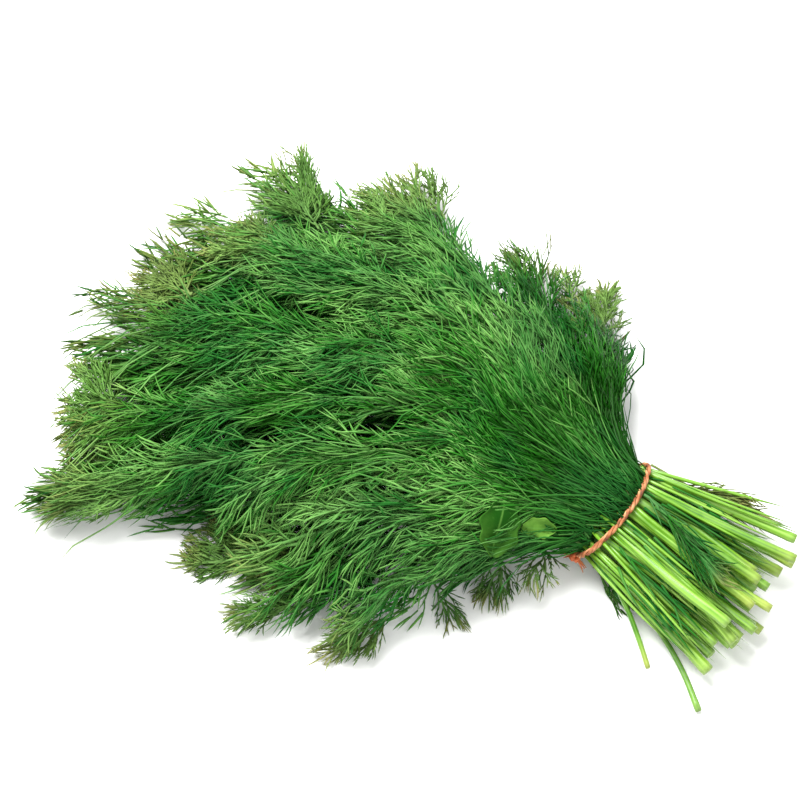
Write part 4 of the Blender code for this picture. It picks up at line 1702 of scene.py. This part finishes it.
# Each column's tint is partly its sprigs' own tone and partly painted shade: the much darker tints of the
# last two columns, and the lower ones of the fourth and fifth, stand in for shade over that part of the
# bunch.
HABITS = (
    Habit(0.0, 0.08, 0.8, -8.0 * MM, 0.03),
    Habit(0.1, 0.10, 1.45, -6.0 * MM, 0.02),
    Habit(0.4, 0.02, 1.1, 0.0, 0.02),
    Habit(1.2, -0.14, 1.3, 5.0 * MM),
    Habit(1.4, -0.12, 1.4, 6.0 * MM),
    Habit(1.1, 0.16, 1.5, 8.0 * MM),
    Habit(0.7, 0.16, 1.5, 9.0 * MM),
    Habit(0.4, -0.42, 1.35, 5.0 * MM),
    Habit(0.2, -0.42, 0.95, -12.0 * MM),
)

# Sprays round the rim of the fan, column by column, then beside the tie, then loose on top.
SPRAYS = (
    Spray("frond_1a", 0.8, 0.0, -10.0, 28.0, 8.0, dryness=0.25),
    Spray("frond_2a", 0.8, 0.4, 20.0, 50.0, 13.0, count=2, fanned=20.0, tint=0.45, dryness=0.18),
    Spray("frond_2b", 0.9, -0.5, -5.0, 20.0, 9.0, tint=0.5),
    Spray("frond_3c", 0.85, -0.1, -4.0, 30.0, 8.0),
    Spray("frond_4d", 0.88, -0.1, -2.0, 34.0, 10.0, count=3),
    Spray("frond_5d", 0.85, 0.3, 6.0, 34.0, 12.0, count=3, dryness=0.35),
    Spray("frond_5c", 0.88, -0.6, -12.0, 26.0, 7.0, dryness=0.3),
    Spray("frond_6d", 0.84, -0.2, -5.0, 34.0, 12.0, count=2, fanned=30.0, dryness=0.25),
    Spray("frond_6d", 0.86, 0.6, 28.0, 56.0, 16.0),
    Spray("frond_7c", 0.82, -0.7, 0.0, 35.0, 15.0),
    Spray("frond_7c", 0.85, 0.4, 12.0, 31.0, 14.0, dryness=0.25),
    Spray("frond_8b", 0.82, -0.5, -12.0, 24.0, 9.0, tint=0.4),
    Spray("frond_8b", 0.75, 0.8, 10.0, 20.0, 10.0, dryness=0.25),
    Spray("frond_9b", 0.9, -0.6, -10.0, 30.0, 12.0, count=2, dryness=0.25),
    Spray("frond_9a", 0.5, -0.4, -20.0, 20.0, 4.0, tint=0.2, dryness=0.1),
    Spray("frond_1a", 0.5, -0.7, -70.0, 12.0, 10.0, tint=0.4, dryness=0.12),
    Spray("frond_1a", 0.22, -0.5, -70.0, 18.0, 11.0, tint=0.4, dryness=0.12),
    Spray("frond_1a", 0.05, -0.5, -110.0, 23.0, 10.0, tint=0.3, dryness=0.2),
    Spray("basal_frond_front", 0.1, 0.0, 0.0, 36.0, 7.0, tint=0.25, dryness=0.0),
    Spray("basal_frond_front", 0.1, 0.6, 5.0, 28.0, 5.0, tint=0.4, dryness=0.3),
    Spray("basal_frond_front", 0.6, 0.0, 0.0, 28.0, 5.0, tint=0.2, dryness=0.0),
    Spray("basal_frond_back", 0.3, 0.0, 0.0, 26.0, 6.0, tint=0.4, dryness=0.5),
    Spray("frond_4d", 0.15, 0.0, 14.0, 56.0, 15.0, tint=0.72, loose=True),
    Spray("frond_4d", 0.15, -0.3, -16.0, 40.0, 14.0, tint=0.62, loose=True),
    Spray("frond_4d", 0.5, 0.0, 8.0, 50.0, 14.0, tint=0.66, loose=True),
    Spray("frond_5d", 0.35, 0.0, -8.0, 58.0, 14.0, tint=0.72, loose=True),
    Spray("frond_6d", 0.3, 0.4, 10.0, 50.0, 13.0, tint=0.5, loose=True),
    Spray("frond_6d", 0.6, 0.0, -6.0, 52.0, 14.0, tint=0.7, loose=True),
    Spray("frond_3c", 0.35, -0.2, -8.0, 44.0, 13.0, loose=True),
    Spray("frond_2c", 0.5, 0.3, 8.0, 44.0, 13.0, loose=True),
)

# Dark hollows in the top of the foliage.
HOLLOWS = (
    Gap(3.5, 0.42, 5.5, 4.0, 25.0),
    Gap(3.2, 0.63, 6.5, 3.5, -15.0),
    Gap(3.3, 0.82, 5.0, 3.0, 10.0),
    Gap(4.3, 0.6, 6.5, 3.0, -30.0),
)
HOLLOW_BOTTOM = 22.0 * MM

# Notches in the outline of the foliage, down to the floor.
NOTCHES = (
    Gap(2.5, 1.0, 29.0, 11.0),
    Gap(2.6, 1.3, 22.0, 12.0),
    Gap(1.0, 0.5, 14.0, 9.0, aside=-38.0),
    Gap(1.0, 0.75, 13.0, 6.0, aside=-11.0),
    Gap(2.0, 1.0, 10.0, 6.0, aside=-3.0),
    Gap(3.0, 0.95, 13.0, 5.0, aside=-15.0),
    Gap(1.3, 1.05, 7.0, 5.0),
    Gap(3.3, 1.05, 6.0, 3.5),
    Gap(4.3, 1.0, 8.0, 3.5),
    Gap(5.75, 1.0, 5.0, 3.5),
    Gap(8.0, 1.12, 9.0, 5.0, 90.0),
)


@dataclass
class Foliage:
    """All the fronds: one for each column and band of the fan, and the short ones at the stems."""

    fan: Fan
    spikes: Spikes
    clearings: tuple

    def reach_of(self, name: str, column: int) -> float:
        """How far along its growth line a packed frond's tip is.

        Args:
            name: the frond's node.
            column: its column.

        Returns:
            The distance past the tie.
        """
        lateral = (column + 0.5) * 2.0 / len(self.fan.columns) - 1.0
        distances = np.linspace(40.0 * MM, 280.0 * MM, 240)
        line = self.fan.plan(distances, np.full(distances.shape, lateral))
        chords = np.linalg.norm(line - np.array(self.fan.neck), axis=1)
        points = np.array([vertex.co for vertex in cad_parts[name].data.vertices])
        farthest = np.linalg.norm(points[:, :2] - np.array(self.fan.neck), axis=1).max()
        return float(np.interp(farthest, chords, distances))

    def fullness_of(self, column: int, band: int) -> Fullness:
        """How full a frond is grown, from how much of it shows.

        Args:
            column: its column of the fan.
            band: its band, 0 on the floor.

        Returns:
            The fullness.
        """
        below_top = self.fan.columns[column] - 1 - band
        if below_top == 0:
            return Fullness.TOP
        if band == 0:
            return Fullness.FLOOR
        return Fullness.BELOW if below_top == 1 else Fullness.INNER

    def build(self) -> list:
        """Grows every frond.

        Returns:
            The fronds' objects.
        """
        made = []
        notches = tuple(gap.clearing(self.fan, 0.0) for gap in NOTCHES)
        hollows = tuple(gap.clearing(self.fan, HOLLOW_BOTTOM) for gap in HOLLOWS)
        for column, bands in enumerate(self.fan.columns):
            for band in range(bands):
                name = f"frond_{column + 1}{'abcde'[band]}"
                habit = HABITS[column]
                reach = self.reach_of(name, column) + min(0.0, habit.slack)
                bed = FanBed(self.fan, column, band, reach, habit.spill, max(0.0, habit.slack), habit.lean)
                on_top = band == bands - 1
                seed = 11 * column + band + 1
                # Painted light and shade: a frond in the top band is tinted lighter and the fronds in the
                # bands under it darker, for the shade under the top of the foliage.
                tint = 0.54 + 0.09 * math.sin(2.3 * seed) + (0.05 if on_top else -0.14)
                frond = Frond(
                    name,
                    bed,
                    self.fullness_of(column, band),
                    seed,
                    upward=0.35 if on_top else 0.0,
                    collar=14 if on_top else 4,
                    collar_room=(20.5 if on_top and 1 < column < 8 else 14.0) * MM,
                    strands=140 if on_top else 80,
                    thread=(0.39 if on_top else 0.60) * MM,
                    tint=tint + habit.tint,
                    sweep=habit.sweep,
                    clearings=self.clearings + notches + (hollows if on_top else ()),
                    sprays=self.sprays_of(name, bed),
                )
                made.append(frond.build(self.spikes))
        for name, outward, spill, upto, seed, dryness in (
            ("basal_frond_top", Vector((0.0, 0.0, 1.0)), 0.5, 0.85, 301, 0.0),
            ("basal_frond_back", Vector((0.0, 1.0, 0.0)), 0.6, 0.8, 302, 0.45),
            ("basal_frond_front", Vector((0.0, -1.0, 0.0)), 2.2, 1.0, 303, 0.12),
        ):
            bed = StemBed.of_node(name, outward, spill, upto)
            frond = Frond(
                name,
                bed,
                Fullness.SHORT,
                seed,
                slot="basal_frond",
                midrib=0.6 * MM,
                thread=0.36 * MM,
                spread=math.radians(17.0),
                tint=0.3,
                dryness=dryness,
                sprays=self.sprays_of(name, bed),
            )
            made.append(frond.build(self.spikes))
        return made

    def sprays_of(self, name: str, bed: FanBed | StemBed) -> tuple:
        """Plans the sprays that a frond carries.

        Args:
            name: the frond's node.
            bed: its bed.

        Returns:
            The small fronds of its sprays.
        """
        made = []
        for number, spray in enumerate(SPRAYS):
            if spray.host == name:
                made += spray.fronds(bed, 400 + 5 * number)
        return tuple(made)


@dataclass
class Studio:
    """Plain pale floor, soft light and the camera."""

    target: tuple = (-0.01534, 0.0118, 0.02)
    azimuth: float = 33.0
    elevation: float = 60.0
    distance: float = 0.79
    lens: float = 85.0

    def back(self) -> Vector:
        """Direction from the target to the camera."""
        a, e = math.radians(self.azimuth), math.radians(self.elevation)
        return Vector((math.sin(a) * math.cos(e), -math.cos(a) * math.cos(e), math.sin(e)))

    def build(self) -> None:
        """Makes the floor, the lights and the camera."""
        self.make_floor()
        self.make_light("key_light", (-0.32, 0.1, 0.8), 0.5, 19.0)
        self.make_light("fill_light", (0.5, -0.35, 0.6), 0.8, 3.4)
        world = bpy.data.worlds.new("studio_air")
        world.use_nodes = True
        air = world.node_tree.nodes["Background"]
        air.inputs["Color"].default_value = (1.0, 1.0, 1.0, 1.0)
        air.inputs["Strength"].default_value = 0.62
        bpy.context.scene.world = world
        bpy.context.scene.view_settings.view_transform = "Standard"
        camera = bpy.data.cameras.new("camera")
        camera.lens = self.lens
        camera.clip_start = 0.01
        stand = bpy.data.objects.new("camera", camera)
        bpy.context.scene.collection.objects.link(stand)
        stand.location = Vector(self.target) + self.back() * self.distance
        stand.rotation_euler = (-self.back()).to_track_quat("-Z", "Y").to_euler()
        bpy.context.scene.camera = stand

    def make_floor(self) -> None:
        """A wide pale floor of one even tone."""
        deselect()
        bpy.ops.mesh.primitive_plane_add(size=8.0)
        floor = bpy.context.object
        floor.name = "floor"
        paper = bpy.data.materials.new("pale_floor")
        paper.use_nodes = True
        shader = paper.node_tree.nodes["Principled BSDF"]
        shader.inputs["Base Color"].default_value = (0.93, 0.93, 0.92, 1.0)
        shader.inputs["Roughness"].default_value = 0.85
        shader.inputs["Specular IOR Level"].default_value = 0.1
        floor.data.materials.append(paper)

    def make_light(self, name: str, place: tuple, size: float, power: float) -> None:
        """Adds a soft square light that faces the middle of the bunch.

        Args:
            name: its name.
            place: where it hangs.
            size: its side.
            power: its power in watts.
        """
        light = bpy.data.lights.new(name, "AREA")
        light.size = size
        light.energy = power
        lamp = bpy.data.objects.new(name, light)
        bpy.context.scene.collection.objects.link(lamp)
        lamp.location = place
        lamp.rotation_euler = (-Vector(place)).to_track_quat("-Z", "Y").to_euler()


def build_bunch() -> list:
    """Builds every piece of the bunch with its finish.

    Returns:
        The pieces.
    """
    fan = Fan()
    effects = Effects(make_patches_group(), make_grain_group())
    spikes = Spikes(model_spike(5, 4), model_spike(3, 4), model_spike(3, 3))
    leaf = LeafFinish("dill_leaflets").make(effects)
    stalk = StemFinish("dill_stems").make(effects)
    blade = BladeFinish("flat_leaves").make(effects)
    fibre = FibreFinish("tie_fibre").make(effects)
    clearings = (over_leaf("flat_leaf_large", 0.27), over_leaf("flat_leaf_small", 0.7))
    dressed = [(piece, leaf) for piece in Foliage(fan, spikes, clearings).build()]
    blank = StemBlank().model()
    for column, bands in enumerate(fan.columns):
        for band in range(bands):
            seed = 31 * column + band
            pale = -0.3 if column == 0 else 0.26 * math.sin(1.9 * seed)
            stem = Stem(f"stem_{column + 1}{'abcde'[band]}", seed, pale)
            dressed.append((stem.build(blank), stalk))
    threads = LooseStrands(
        "stem_threads", fan, 400, 0.52 * MM, 0.50, (-3, 44), (14, 34), (0.7, 1.0),
        sunk=0.08, widening=1.0, seed=77,
    )
    dressed.append((threads.build(spikes), leaf))
    stalks = LooseStrands(
        "leaf_stalks", fan, 120, 0.98 * MM, 0.50, (-3, 0), (80, 90), (0.72, 1.0),
        sunk=0.1, widening=1.22, seed=78,
    )
    dressed.append((stalks.build(spikes), stalk))
    dressed.append((Tie().build(), fibre))
    # The large leaf's very low tint is partly painted shade, for the fronds that shade it.
    dressed.append((FlatLeaf("flat_leaf_large", 0.10, 2, 0.02, 0.68, 2.0 * MM, 1.0 * MM).build(), blade))
    dressed.append((FlatLeaf("flat_leaf_small", 0.1, 3, 0.62, 0.95, 0.0, 0.9 * MM).build(), blade))
    for piece, finish in dressed:
        piece.data.materials.clear()
        piece.data.materials.append(finish)
    return [piece for piece, _ in dressed]


def main() -> None:
    """Builds the bunch and the studio."""
    logging.basicConfig(level=logging.INFO, format="%(name)s: %(message)s")
    Studio().build()
    pieces = build_bunch()
    total = 0
    for piece in pieces:
        faces = sum(len(face.vertices) - 2 for face in piece.data.polygons)
        total += faces
        log.info("%s: %d triangles", piece.name, faces)
    log.info("%d pieces, %d triangles", len(pieces), total)


if __name__ == "__main__":
    main()
